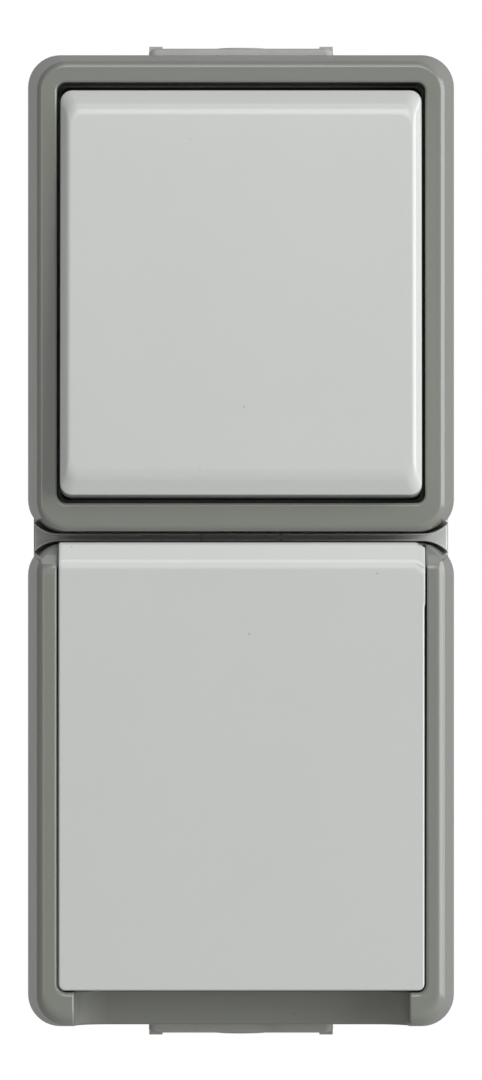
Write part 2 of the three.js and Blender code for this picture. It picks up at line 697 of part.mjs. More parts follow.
function lidSeal() {
  const w = [COVER.w[1] + GAP, LID.face - LID_WALL.face - GAP];
  return cut(
    rod(23.8, 0, SOCKET.mid, w, MANY),
    rod(22.2, 0, SOCKET.mid, [w[0] - 1, w[1] + 1], MANY),
  );
}

// The return spring: a coil round the hinge pin with one leg on the cover and one under the lid.
function lidSpring() {
  const coil = { radius: 1.7, pitch: 1.1, turns: 8 };
  const length = coil.pitch * coil.turns;
  const helix = wire(new Helix(coil.radius, coil.pitch, coil.turns), 0.33, 64);
  helix.rotateY(Math.PI / 2).translate(-length / 2, HINGE.v, HINGE.w);
  return solidOf(helix);
}

// ---- Build ----

piece(unit, 'base_box', baseBox(), PALE_GREY);
piece(unit, 'cable_entry_top', cableEntry(1), SOFT_GREY);
piece(unit, 'cable_entry_bottom', cableEntry(-1), SOFT_GREY);
piece(unit, 'switch_frame', switchFrame(), DARK_GREY);
piece(unit, 'socket_frame', socketFrame(), DARK_GREY);

for (const [name, part] of [['switch_frame_seal', SWITCH], ['socket_frame_seal', SOCKET]]) {
  piece(unit, name, rimRing(part, 0.1, 1, [RIM.top + GAP, LEDGE.low - GAP]), SOFT_BLACK);
}

piece(unit, 'rocker_seal', rockerSeal(), SOFT_BLACK);
piece(unit, 'switch_body', switchBody(), INSULATOR);
piece(unit, 'switch_plate', supportPlate(SWITCH, 16.5, 16.5, SWITCH_PLATE), STEEL);
piece(unit, 'common_terminal', commonTerminal(), BRASS);
piece(unit, 'line_terminal_1', lineTerminal(1), BRASS);
piece(unit, 'line_terminal_2', lineTerminal(-1), BRASS);

piece(unit, 'socket_body', socketBody(), INSULATOR);
piece(unit, 'socket_plate', supportPlate(SOCKET, 20.9, 17.4, SOCKET_PLATE), STEEL);
piece(unit, 'live_contact', pinContact(1), BRASS);
piece(unit, 'neutral_contact', pinContact(-1), BRASS);
piece(unit, 'earth_strap', earthStrap(), BRASS);
piece(unit, 'socket_cover', socketCover(), PALE_GREY);
piece(unit, 'socket_cover_screw', screw(0, SOCKET.mid, COVER_SCREW.seat + GAP, 14, COVER_SCREW.head), STEEL);

const SWITCH_SCREWS = [[-1, -1], [1, 1], [1, -1]];
SWITCH_SCREWS.forEach(([side, end], i) => {
  const [u, v] = switchAt(side * TERMINAL_AT.u, end * TERMINAL_AT.v);
  piece(unit, `switch_terminal_screw_${i + 1}`, screw(u, v, SWITCH_BLOCK[1] + GAP, 20.5, 2.7), STEEL);
});

const SOCKET_SCREWS = [[1, 1, SOCKET_BLOCK], [-1, 1, SOCKET_BLOCK], [1, -1, EARTH_BLOCK]];
SOCKET_SCREWS.forEach(([side, end, seat], i) => {
  const [u, v] = socketAt(side * SOCKET_TERMINAL_AT.u, end * SOCKET_TERMINAL_AT.v);
  piece(unit, `socket_terminal_screw_${i + 1}`, screw(u, v, seat[1] + GAP, seat[0] + 2.8, 2.7), STEEL);
});

SIDES.forEach((end, i) => {
  for (const [name, part, plate] of [['switch', SWITCH, SWITCH_PLATE], ['socket', SOCKET, SOCKET_PLATE]]) {
    const v = part.mid + end * INSERT.fixing;
    piece(unit, `${name}_fixing_screw_${i + 1}`, screw(0, v, plate[1] + GAP, plate[1] - 8, 3.1), STEEL);
  }
});

piece(unit, 'lid_hinge_pin', crossbar(HINGE.pin, about(0, LID.half - 1), HINGE.v, HINGE.w), STEEL);
piece(unit, 'lid_spring', lidSpring(), STEEL);

piece(rocker, 'rocker_cap', rockerCap(), PALE_GREY);
piece(rocker, 'rocker_yoke', rockerYoke(), INSULATOR);
piece(rocker, 'toggle_plunger', togglePlunger(), STEEL);
piece(rocker, 'toggle_spring', toggleSpring(), STEEL);
unit.add(rocker);

piece(lever, 'contact_lever', contactLever(), BRASS);
piece(lever, 'contact_rivet_1', contactRivet(1), SILVER);
piece(lever, 'contact_rivet_2', contactRivet(-1), SILVER);
unit.add(lever);

piece(unit, 'socket_lid', socketLid(), PALE_GREY);
piece(unit, 'lid_seal', lidSeal(), SOFT_BLACK);

unit.rotation.x = Math.PI / 2;
const group = new THREE.Group();
group.add(unit);

export default group;
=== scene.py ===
"""A splash-proof wall unit in a plain studio: a rocker switch over a lidded socket outlet.

Sizes are in millimetres in wall axes: u runs to the right, v up and w out from the wall.
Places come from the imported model, and each piece that shows gets its fine surface here.
"""

import json
import logging
import math
from collections.abc import Iterable, Sequence
from dataclasses import dataclass, field
from enum import Enum

import bmesh
import bpy
from mathutils import Matrix, Vector


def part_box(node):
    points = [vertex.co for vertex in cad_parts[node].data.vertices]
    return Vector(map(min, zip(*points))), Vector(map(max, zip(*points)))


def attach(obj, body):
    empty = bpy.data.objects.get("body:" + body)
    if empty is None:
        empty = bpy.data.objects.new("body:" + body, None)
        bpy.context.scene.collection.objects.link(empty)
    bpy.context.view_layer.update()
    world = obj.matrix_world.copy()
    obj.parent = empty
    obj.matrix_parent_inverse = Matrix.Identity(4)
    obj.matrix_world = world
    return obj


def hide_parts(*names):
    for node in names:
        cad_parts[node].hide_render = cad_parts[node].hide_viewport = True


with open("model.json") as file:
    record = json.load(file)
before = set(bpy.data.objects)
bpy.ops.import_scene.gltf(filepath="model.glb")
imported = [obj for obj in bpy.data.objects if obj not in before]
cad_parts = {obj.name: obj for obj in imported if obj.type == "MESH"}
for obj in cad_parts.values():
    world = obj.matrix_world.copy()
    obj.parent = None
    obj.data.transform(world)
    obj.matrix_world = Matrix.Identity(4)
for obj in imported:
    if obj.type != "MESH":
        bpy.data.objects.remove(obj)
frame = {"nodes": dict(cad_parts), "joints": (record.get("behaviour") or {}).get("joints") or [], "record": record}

LOG = logging.getLogger("wall_unit")
MM = 0.001
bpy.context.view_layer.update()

Pair = tuple[float, float]
Corner = tuple[float, float, float]
Level = tuple[Sequence[Pair], float]

HINGE: Pair = (-4.3, 45.5)  # the axis of the lid's pin, up and out
PIN_HOLE = 1.3  # radius of the holes that the pin runs in
SWITCH_MIDDLE = 38.0  # the middle height of the switch insert
SOCKET_MIDDLE = -37.3  # the middle height of the socket insert
OVER = 1.0  # how far a tool reaches past the solid that it cuts
WELD = 0.0005  # points closer than this are one point
SHARPEST = 0.05  # the least radius of a shrunk outline's corners
CORNER_SHARE = 0.49  # the most of a line that the rounding at one of its ends takes
BAR_CAP = 0.3  # the radius that a bar's end face starts at, over the bar's own


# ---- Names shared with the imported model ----


class Body(Enum):
    """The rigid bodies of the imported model."""

    HOUSING = "housing"
    ROCKER = "rocker"
    LEVER = "lever"
    LID = "lid"


class Slot(Enum):
    """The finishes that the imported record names."""

    PALE = "pale_grey_housing"
    DARK = "dark_grey_frame"
    GROMMET = "soft_grey_grommet"
    SEAL = "soft_black_seal"
    INSULATOR = "insulator"
    BRASS = "contact_brass"
    SILVER = "contact_silver"
    ZINC = "zinc_steel"


class Along(Enum):
    """The wall axis that a loft climbs."""

    OUT = "w"
    UP = "v"
    ACROSS = "u"

    def place(self, first: float, second: float, height: float) -> Vector:
        """Put a point of a loft in the row frame.

        Args:
            first: The outline's first coordinate, in millimetres.
            second: The outline's second coordinate, in millimetres.
            height: How far along the loft's axis the point is, in millimetres.

        Returns:
            The point in metres.
        """
        if self is Along.OUT:
            u, v, w = first, second, height
        elif self is Along.UP:
            u, v, w = first, height, second
        else:
            u, v, w = height, first, second
        return Vector((u, -w, v)) * MM


class Operation(Enum):
    """How one solid changes another."""

    CUT = "DIFFERENCE"
    JOIN = "UNION"
    KEEP = "INTERSECT"


# ---- Outlines and paths ----


@dataclass(frozen=True)
class Extent:
    """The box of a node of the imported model, in wall axes and millimetres."""

    u: Pair
    v: Pair
    w: Pair

    @classmethod
    def of(cls, node: str) -> "Extent":
        """Read a node's box.

        Args:
            node: The node's name.

        Returns:
            Its extent at rest.
        """
        low, high = (Vector(corner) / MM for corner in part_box(node))
        return cls((low.x, high.x), (low.z, high.z), (-high.y, -low.y))

    @property
    def half(self) -> float:
        """Half the width."""
        return (self.u[1] - self.u[0]) / 2


@dataclass(frozen=True)
class Outline:
    """A rounded rectangle, given by its four sides and the radii of its corners."""

    left: float
    right: float
    low: float
    high: float
    radius: float
    upper: float | None = None  # radius of the two upper corners, if it is another one

    @classmethod
    def circle(cls, first: float, second: float, radius: float) -> "Outline":
        """A circle as a rectangle that is all corner."""
        return cls(first - radius, first + radius, second - radius, second + radius, radius)

    @classmethod
    def centred(cls, half: float, ends: Pair, radius: float) -> "Outline":
        """An outline that is the same to the left and to the right."""
        return cls(-half, half, ends[0], ends[1], radius)

    def inset(self, by: float) -> "Outline":
        """Shrink the outline evenly.

        Args:
            by: How far each side moves in, and how much smaller each radius gets.

        Returns:
            The smaller outline.
        """
        corner = max(self.radius - by, SHARPEST)
        return Outline(self.left + by, self.right - by, self.low + by, self.high - by, corner)

    def points(self, steps: int = 8) -> list[Pair]:
        """List the outline's points, from the upper right corner round to the left.

        Args:
            steps: Facets in each corner.

        Returns:
            Four corners of steps + 1 points each.
        """
        upper = self.radius if self.upper is None else self.upper
        corners = (
            (self.right - upper, self.high - upper, upper),
            (self.left + upper, self.high - upper, upper),
            (self.left + self.radius, self.low + self.radius, self.radius),
            (self.right - self.radius, self.low + self.radius, self.radius),
        )
        found = []
        for quarter, (first, second, radius) in enumerate(corners):
            for step in range(steps + 1):
                turn = (quarter + step / steps) * math.pi / 2
                found.append((first + radius * math.cos(turn), second + radius * math.sin(turn)))
        return found


def rounded_path(corners: Sequence[Corner], closed: bool = False,
                 steps: int = 6) -> list[Pair]:
    """Round the corners of a bent line.

    Args:
        corners: The line's corners, each with the radius of its rounding.
        closed: Whether the last corner joins the first.
        steps: Facets in each rounded corner.

    Returns:
        The points of the rounded line.
    """
    found: list[Pair] = []
    count = len(corners)
    for index, (first, second, radius) in enumerate(corners):
        if radius == 0 or (not closed and index in (0, count - 1)):
            found.append((first, second))
            continue
        here = Vector((first, second))
        back = Vector(corners[index - 1][:2]) - here
        ahead = Vector(corners[(index + 1) % count][:2]) - here
        half = back.angle(ahead) / 2
        reach = min(radius / math.tan(half), CORNER_SHARE * back.length, CORNER_SHARE * ahead.length)
        fitted = reach * math.tan(half)
        centre = here + (back.normalized() + ahead.normalized()).normalized() * fitted / math.sin(half)
        start = here + back.normalized() * reach - centre
        end = here + ahead.normalized() * reach - centre
        for step in range(steps + 1):
            spoke = start.lerp(end, step / steps).normalized() * fitted
            found.append(tuple(centre + spoke))
    return found


# ---- Meshes ----


def new_object(name: str, mesh: bmesh.types.BMesh) -> bpy.types.Object:
    """Turn a bmesh into an object with its faces pointing out.

    Args:
        name: The object's name.
        mesh: The bmesh, which is freed.

    Returns:
        The object, linked to the scene.
    """
    bmesh.ops.remove_doubles(mesh, verts=mesh.verts, dist=WELD * MM)
    bmesh.ops.recalc_face_normals(mesh, faces=mesh.faces)
    data = bpy.data.meshes.new(name)
    mesh.to_mesh(data)
    mesh.free()
    item = bpy.data.objects.new(name, data)
    bpy.context.scene.collection.objects.link(item)
    return item


def join_rings(name: str, rings: Sequence[Sequence[Vector]], closed: bool = False) -> bpy.types.Object:
    """Join a stack of rings of points with four-sided faces.

    Args:
        name: The object's name.
        rings: The rings, each with the same number of points, in metres.
        closed: Whether the last ring joins the first; if not, both ends are capped.

    Returns:
        The closed piece.
    """
    mesh = bmesh.new()
    loops = [[mesh.verts.new(point) for point in ring] for ring in rings]
    pairs = list(zip(loops, loops[1:]))
    if closed:
        pairs.append((loops[-1], loops[0]))
    else:
        mesh.faces.new(loops[0])
        mesh.faces.new(loops[-1])
    for lower, upper in pairs:
        for index in range(len(lower)):
            after = (index + 1) % len(lower)
            mesh.faces.new((lower[index], lower[after], upper[after], upper[index]))
    return new_object(name, mesh)


def loft(name: str, levels: Sequence[Level], along: Along = Along.OUT,
         closed: bool = False) -> bpy.types.Object:
    """Skin a stack of outlines with the same number of points.

    Args:
        name: The object's name.
        levels: Each outline's points and its height along the axis.
        along: The axis that the loft climbs.
        closed: Whether the last outline joins the first; if not, both ends are capped.

    Returns:
        The closed piece.
    """
    rings = [[along.place(a, b, height) for a, b in points] for points, height in levels]
    return join_rings(name, rings, closed)


def brick(name: str, u: Pair, v: Pair, w: Pair) -> bpy.types.Object:
    """A plain block, used to cut or to join."""
    points = ((u[1], v[1]), (u[0], v[1]), (u[0], v[0]), (u[1], v[0]))
    return loft(name, [(points, w[0]), (points, w[1])])


def on_side(side: int, near: float, far: float) -> Pair:
    """A range to one side of the middle, with its lower end first."""
    return tuple(sorted((side * near, side * far)))


def bar(name: str, centre: Pair, radius: float, ends: Pair, along: Along, edge: float = 0.0,
        steps: int = 12) -> bpy.types.Object:
    """A round bar with rounded or square ends.

    Args:
        name: The object's name.
        centre: The bar's axis, across the loft.
        radius: The bar's radius.
        ends: Where the bar starts and stops along its axis.
        along: The bar's axis.
        edge: The radius of its rounded ends, or 0 for square ones.
        steps: Facets in a quarter of its section.

    Returns:
        The bar.
    """
    cap = radius * BAR_CAP
    profile = [(cap, ends[0], 0), (radius, ends[0], edge), (radius, ends[1], edge), (cap, ends[1], 0)]
    return turning(name, centre, rounded_path(profile, steps=4), along, steps)


def turning(name: str, centre: Pair, profile: Sequence[Pair], along: Along,
            steps: int = 12) -> bpy.types.Object:
    """A body of revolution.

    Args:
        name: The object's name.
        centre: Its axis, across the loft.
        profile: Its radius and its height, from one end to the other.
        along: The direction of its axis.
        steps: Facets in a quarter of its section.

    Returns:
        The body.
    """
    levels = [(Outline.circle(*centre, radius).points(steps), height) for radius, height in profile]
    return loft(name, levels, along)


def rod_along(name: str, points: Sequence[Vector], radius: float, sides: int = 8) -> bpy.types.Object:
    """Round wire along a path, with closed ends.

    Args:
        name: The object's name.
        points: The path in wall axes, in millimetres.
        radius: The wire's radius.
        sides: Facets round the wire.

    Returns:
        The wire.
    """
    rings = []
    first = (points[1] - points[0]).normalized()
    side = first.orthogonal().normalized()
    for index, point in enumerate(points):
        ahead = points[min(index + 1, len(points) - 1)] - points[max(index - 1, 0)]
        tangent = ahead.normalized()
        side = (side - tangent * side.dot(tangent)).normalized()
        other = tangent.cross(side)
        ring = []
        for step in range(sides):
            turn = 2 * math.pi * step / sides
            spot = point + (side * math.cos(turn) + other * math.sin(turn)) * radius
            ring.append(Along.OUT.place(*spot))
        rings.append(ring)
    return join_rings(name, rings)


def combine(target: bpy.types.Object, tools: Iterable[bpy.types.Object], how: Operation) -> None:
    """Cut tools out of a piece, or join them to it, and delete them.

    Args:
        target: The piece that changes.
        tools: The solids that change it.
        how: Whether they are cut out or joined on.
    """
    for tool in tools:
        change = target.modifiers.new(how.name, "BOOLEAN")
        change.operation = how.value
        change.solver = "EXACT"
        change.object = tool
        seen = target.evaluated_get(bpy.context.evaluated_depsgraph_get())
        result = bpy.data.meshes.new_from_object(seen)
        target.modifiers.clear()
        target.data = result
        bpy.data.objects.remove(tool)


def soften(item: bpy.types.Object, width: float, steps: int = 3, over: float = 50.0) -> None:
    """Round a piece's sharp edges.

    Args:
        item: The piece.
        width: The rounding's width, in millimetres.
        steps: Facets across the rounding.
        over: The least angle that counts as sharp, in degrees.
    """
    edge = item.modifiers.new("edges", "BEVEL")
    edge.width = width * MM
    edge.segments = steps
    edge.limit_method = "ANGLE"
    edge.angle_limit = math.radians(over)
    edge.use_clamp_overlap = False
    edge.miter_outer = "MITER_ARC"


def smooth(item: bpy.types.Object, over: float = 35.0) -> None:
    """Shade a piece smooth up to an angle, with its flat faces kept flat.

    Args:
        item: The piece.
        over: The least angle that stays a sharp edge, in degrees.
    """
    item.data.shade_smooth()
    item.data.set_sharp_from_angle(angle=math.radians(over))
    weigh = item.modifiers.new("flats", "WEIGHTED_NORMAL")
    weigh.keep_sharp = True


# ---- Finishes ----


def linear(colour: str) -> tuple[float, float, float, float]:
    """Turn an sRGB hex colour to linear light."""
    parts = [int(colour[index:index + 2], 16) / 255 for index in (1, 3, 5)]
    lit = [part / 12.92 if part <= 0.04045 else ((part + 0.055) / 1.055) ** 2.4 for part in parts]
    return (lit[0], lit[1], lit[2], 1.0)


def add(tree: bpy.types.NodeTree, kind: str, settings: dict[str | int, object] | None = None,
        links: dict[str | int, bpy.types.NodeSocket] | None = None, **attributes: object) -> bpy.types.Node:
    """Add a node with its settings and links.

    Args:
        tree: The node tree.
        kind: The node's type.
        settings: Values for its sockets.
        links: Sockets of other nodes that feed its sockets.
        **attributes: Values for the node itself.

    Returns:
        The node.
    """
    node = tree.nodes.new(kind)
    for name, value in attributes.items():
        setattr(node, name, value)
    for name, value in (settings or {}).items():
        node.inputs[name].default_value = value
    for name, socket in (links or {}).items():
        tree.links.new(socket, node.inputs[name])
    return node


def blank(name: str) -> tuple[bpy.types.Material, bpy.types.NodeTree, bpy.types.NodeSocket]:
    """Start a material.

    Args:
        name: The material's name.

    Returns:
        The material, its empty node tree, and the socket that gives a point's place on its piece.
    """
    made = bpy.data.materials.new(name)
    made.use_nodes = True
    made.node_tree.nodes.clear()
    place = add(made.node_tree, "ShaderNodeTexCoord").outputs["Object"]
    return made, made.node_tree, place


def noise(tree: bpy.types.NodeTree, place: bpy.types.NodeSocket, size_mm: float,
          detail: float) -> bpy.types.NodeSocket:
    """Add noise.

    Args:
        tree: The node tree.
        place: The socket that gives a point's place.
        size_mm: About how far across its patches are.
        detail: How many finer layers it has.

    Returns:
        The noise's value.
    """
    settings = {"Scale": 1 / (size_mm * MM), "Detail": detail}
    return add(tree, "ShaderNodeTexNoise", settings, {"Vector": place}).outputs[0]


def bump(tree: bpy.types.NodeTree, height: bpy.types.NodeSocket, strength: float,
         depth_mm: float) -> bpy.types.NodeSocket:
    """Raise a surface by a value, and return the socket of its normal."""
    settings = {"Strength": strength, "Distance": depth_mm * MM}
    return add(tree, "ShaderNodeBump", settings, {"Height": height}).outputs[0]


def surface(tree: bpy.types.NodeTree, settings: dict[str | int, object],
            links: dict[str | int, bpy.types.NodeSocket]) -> None:
    """Close a material with its shader and its output."""
    shader = add(tree, "ShaderNodeBsdfPrincipled", settings, links)
    add(tree, "ShaderNodeOutputMaterial", None, {"Surface": shader.outputs[0]})


@dataclass(frozen=True)
class MouldedPlastic:
    """Injection-moulded plastic from a spark-eroded tool: a fine satin grain that breaks up gloss."""

    name: str
    colour: str
    roughness: float
    ior: float = 1.53  # ABS and ASA
    grain_mm: float = 0.30  # spark erosion is nearer 0.1 mm, drawn coarser so that it shows
    grain_height_mm: float = 0.0022
    mottle_mm: float = 18.0  # slow change of shade where the melt flowed
    mottle: float = 0.012
    wiped_mm: float = 14.0  # patches polished a little by handling
    wiped: Pair = (-0.015, 0.02)  # how far their roughness is off
    speck_mm: float = 9.0  # spacing of the fine dark specks of dust in the surface
    speck_edge: Pair = (0.010, 0.022)  # where a speck starts to fade and where it ends, over the spacing
    speck_depth: float = 0.45
    speck_shade: float = 0.25

    def shade(self, by: float) -> tuple[float, float, float, float]:
        """The plastic's colour, lighter or darker."""
        red, green, blue, _ = linear(self.colour)
        return (min(red * by, 1.0), min(green * by, 1.0), min(blue * by, 1.0), 1.0)

    def material(self) -> bpy.types.Material:
        """Build the material.

        Returns:
            The material, which shades colour, gloss and grain from the piece's own place.
        """
        made, tree, place = blank(self.name)
        flow = noise(tree, place, self.mottle_mm, 3.0)
        grain = noise(tree, place, self.grain_mm, 2.0)
        wiped = noise(tree, place, self.wiped_mm, 3.0)
        dust = add(tree, "ShaderNodeTexVoronoi", {"Scale": 1 / (self.speck_mm * MM)}, {"Vector": place},
                   feature="F1")
        shades = {6: self.shade(1 - self.mottle), 7: self.shade(1 + self.mottle)}
        body = add(tree, "ShaderNodeMix", shades, {0: flow}, data_type="RGBA")
        inner, outer = self.speck_edge
        speck = add(tree, "ShaderNodeMapRange",
                    {"From Min": inner, "From Max": outer, "To Min": self.speck_depth, "To Max": 0.0},
                    {"Value": dust.outputs["Distance"]})
        dotted = add(tree, "ShaderNodeMix", {7: self.shade(self.speck_shade)},
                     {0: speck.outputs[0], 6: body.outputs[2]}, data_type="RGBA")
        least, most = (self.roughness + change for change in self.wiped)
        gloss = add(tree, "ShaderNodeMapRange",
                    {"From Min": 0.2, "From Max": 0.8, "To Min": least, "To Max": most}, {"Value": wiped})
        surface(tree, {"IOR": self.ior},
                {"Base Color": dotted.outputs[2], "Roughness": gloss.outputs[0],
                 "Normal": bump(tree, grain, 1.0, self.grain_height_mm)})
        return made


@dataclass(frozen=True)
class SoftMoulding:
    """Moulded rubber or thermoplastic elastomer: matt, slightly dusty, with a soft sheen at its edges."""

    name: str
    colour: str
    dust: str
    roughness: float = 0.75
    ior: float = 1.50
    pore_mm: float = 0.5
    pore_depth_mm: float = 0.01
    dust_mm: float = 6.0
    dust_range: Pair = (0.45, 0.75)  # the part of the noise that the dust lies over
    dust_most: float = 0.35
    sheen: Pair = (0.15, 0.5)  # its weight and its roughness

    def material(self) -> bpy.types.Material:
        """Build the material.

        Returns:
            The material.
        """
        made, tree, place = blank(self.name)
        least, most = self.dust_range
        amount = add(tree, "ShaderNodeMapRange",
                     {"From Min": least, "From Max": most, "To Max": self.dust_most},
                     {"Value": noise(tree, place, self.dust_mm, 6.0)})
        colour = add(tree, "ShaderNodeMix", {6: linear(self.colour), 7: linear(self.dust)},
                     {0: amount.outputs[0]}, data_type="RGBA")
        pores = bump(tree, noise(tree, place, self.pore_mm, 3.0), 0.6, self.pore_depth_mm)
        weight, spread = self.sheen
        surface(tree, {"IOR": self.ior, "Roughness": self.roughness, "Sheen Weight": weight,
                       "Sheen Roughness": spread},
                {"Base Color": colour.outputs[2], "Normal": pores})
        return made


@dataclass(frozen=True)
class RolledMetal:
    """Metal strip or turned wire: fine lines from the rolls or the tool, and a slightly uneven tarnish."""

    name: str
    colour: str
    tarnish: str
    roughness: float
    line_mm: float = 0.12
    line_depth_mm: float = 0.004
    line_gloss: Pair = (-0.06, 0.1)  # how far the lines' roughness is off
    drawn: float = 0.04  # scale of the noise along the lines, over that across them
    tarnish_mm: float = 5.0

    def material(self) -> bpy.types.Material:
        """Build the material.

        Returns:
            The material.
        """
        made, tree, place = blank(self.name)
        drawn = add(tree, "ShaderNodeMapping", {"Scale": (1.0, 1.0, self.drawn)}, {"Vector": place})
        lines = noise(tree, drawn.outputs[0], self.line_mm, 2.0)
        bloom = noise(tree, place, self.tarnish_mm, 4.0)
        colour = add(tree, "ShaderNodeMix", {6: linear(self.colour), 7: linear(self.tarnish)}, {0: bloom},
                     data_type="RGBA")
        least, most = (self.roughness + change for change in self.line_gloss)
        gloss = add(tree, "ShaderNodeMapRange", {"To Min": least, "To Max": most}, {"Value": lines})
        surface(tree, {"Metallic": 1.0},
                {"Base Color": colour.outputs[2], "Roughness": gloss.outputs[0],
                 "Normal": bump(tree, lines, 0.4, self.line_depth_mm)})
        return made


Finish = MouldedPlastic | SoftMoulding | RolledMetal

FINISHES: dict[Slot, Finish] = {
    # Light grey ASA from a spark-eroded tool: satin, and even in colour.
    Slot.PALE: MouldedPlastic("pale_asa_spark_eroded", "#C9CBC9", 0.24),
    # Mid grey ASA from the same kind of tool: the frames, a little glossier.
    Slot.DARK: MouldedPlastic("grey_asa_spark_eroded", "#82847E", 0.22, mottle=0.02),
    # Light grey elastomer, moulded soft so that a cable can be pushed through: matt.
    Slot.GROMMET: SoftMoulding("grey_elastomer_moulded", "#B2B2AF", "#8E8E8A", 0.62),
    # Black EPDM rubber, moulded: dull black with a grey bloom.
    Slot.SEAL: SoftMoulding("black_epdm_moulded", "#161616", "#3A3A3A", 0.78),
    # White urea resin, pressed: hard, cool white and slightly glossy.
    Slot.INSULATOR: MouldedPlastic("white_urea_pressed", "#E4E2DA", 0.42, ior=1.55, grain_mm=0.5),
    # Brass strip, rolled and stamped: warm yellow with brown tarnish.
    Slot.BRASS: RolledMetal("brass_rolled", "#D3AE5C", "#A9803A", 0.30),
    # Silver alloy rivet, cold headed: white and bright.
    Slot.SILVER: RolledMetal("silver_alloy_headed", "#DADAD6", "#B4B2AC", 0.22),
    # Zinc-plated steel, passivated: cool grey with a faint cloudiness.
    Slot.ZINC: RolledMetal("zinc_plated_steel", "#BFC3C7", "#9DA2A6", 0.34),
}


class Wardrobe:
    """Builds each finish once and dresses pieces in it."""

    def __init__(self, finishes: dict[Slot, Finish]) -> None:
        """Build every material of the unit."""
        self.materials = {slot: finish.material() for slot, finish in finishes.items()}

    def fit(self, item: bpy.types.Object, body: Body, slot: Slot, *nodes: str) -> bpy.types.Object:
        """Dress a new piece and set it on its body.

        Args:
            item: The piece, in place.
            body: The body that it rides on.
            slot: Its finish.
            *nodes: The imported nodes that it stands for.

        Returns:
            The piece.
        """
        item.data.materials.clear()
        item.data.materials.append(self.materials[slot])
        smooth(item)
        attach(item, body.value)
        if nodes:
            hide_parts(*nodes)
        LOG.info("%s: %d faces, for %s", item.name, len(item.data.polygons), ", ".join(nodes) or "detail")
        return item

    def dress_node(self, node: str) -> None:
        """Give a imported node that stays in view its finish."""
        slots = {part["node"]: part["material_slot"] for part in frame["record"]["subparts"]}
        item = frame["nodes"][node]
        material = self.materials[Slot(slots[node])]
        if item.material_slots:
            item.material_slots[0].material = material
        else:
            item.data.materials.append(material)
        LOG.info("%s: packed node, dressed", node)


# ---- Sub-assemblies ----


@dataclass
class FrameShell:
    """The grey frame round one half of the unit."""

    node: str
    ends: Pair = (4.47, 5.0)  # how far in the opening's low and high edges are
    opening: float = 4.8  # how far in the opening's sides are
    slope: float = 1.75  # how far the outer wall leans in, at the sides
    brow: float = 0.55  # size of the bevel between the outer wall and the face
    lean: Pair = (0.08, 1.0)  # how far the wall leans in at the low and the high end, over the sides
    crease: float = 1.3  # radius between the bevel and the face
    lip: float = 0.4  # radius of the opening's edge
    corner: float = 5.0
    tighten: Pair = (0.286, 1.05)  # how fast the corner tightens, up the outer wall and across the face
    tightest: float = 0.9
    edge: float = 0.2  # radius of the edges that hardly show
    ledge: Pair = (38.1, 39.6)
    ledge_in: float = 7.0
    wall: float = 2.0
    extent: Extent = field(init=False)

    def __post_init__(self) -> None:
        """Read the frame's extent."""
        self.extent = Extent.of(self.node)

    def reach(self, inset: float, end: float, lean: float) -> float:
        """How far in an end is, where the sides are some way in.

        Args:
            inset: How far in the sides are.
            end: How far in that end of the opening is.
            lean: How far the outer wall leans in at that end, over the same at the sides.

        Returns:
            The end's part of the outer wall's lean, and in proportion from there to the opening.
        """
        if inset <= self.slope:
            return inset * lean
        foot = self.slope * lean
        return foot + (inset - self.slope) * (end - foot) / (self.opening - self.slope)

    def outline(self, inset: float) -> Outline:
        """The frame's outline at some way in from its outer edge.

        Args:
            inset: How far in, at the sides.

        Returns:
            The outline, whose corners tighten towards the opening.
        """
        low = self.extent.v[0] + self.reach(inset, self.ends[0], self.lean[0])
        high = self.extent.v[1] - self.reach(inset, self.ends[1], self.lean[1])
        wall, face = self.tighten
        radius = self.corner - wall * min(inset, self.slope) - face * max(inset - self.slope, 0)
        return Outline.centred(self.extent.half - inset, (low, high), max(radius, self.tightest))

    def ring(self, inset: float) -> list[Pair]:
        """The points of the outline at some way in."""
        return self.outline(inset).points(10)

    @property
    def wall_at_ledge(self) -> float:
        """How far in the outer wall's inside is where it meets the ledge."""
        back, front = self.extent.w
        return self.wall + self.slope * (self.ledge[0] - back) / (front - back)

    def shell(self) -> bpy.types.Object:
        """Build the ring of the frame.

        Returns:
            The closed ring, with its outer wall, face, opening and inner ledge.
        """
        back, front = self.extent.w
        low, high = self.ledge
        path = rounded_path([
            (0.0, back, 0.25),
            (self.slope, front - self.brow, 0.15),
            (self.slope + self.brow, front, self.crease),
            (self.opening, front, self.lip),
            (self.opening + 0.05, high, self.edge),
            (self.ledge_in, high, self.edge),
            (self.ledge_in, low, self.edge),
            (self.wall_at_ledge, low, 2 * self.edge),
            (self.wall, back, self.edge),
        ], closed=True)
        levels = [(self.ring(inset), height) for inset, height in path]
        return loft(f"{self.node}_fine", levels, closed=True)

    def build(self, wardrobe: Wardrobe) -> None:
        """Build and dress the frame."""
        wardrobe.fit(self.shell(), Body.HOUSING, Slot.DARK, self.node)


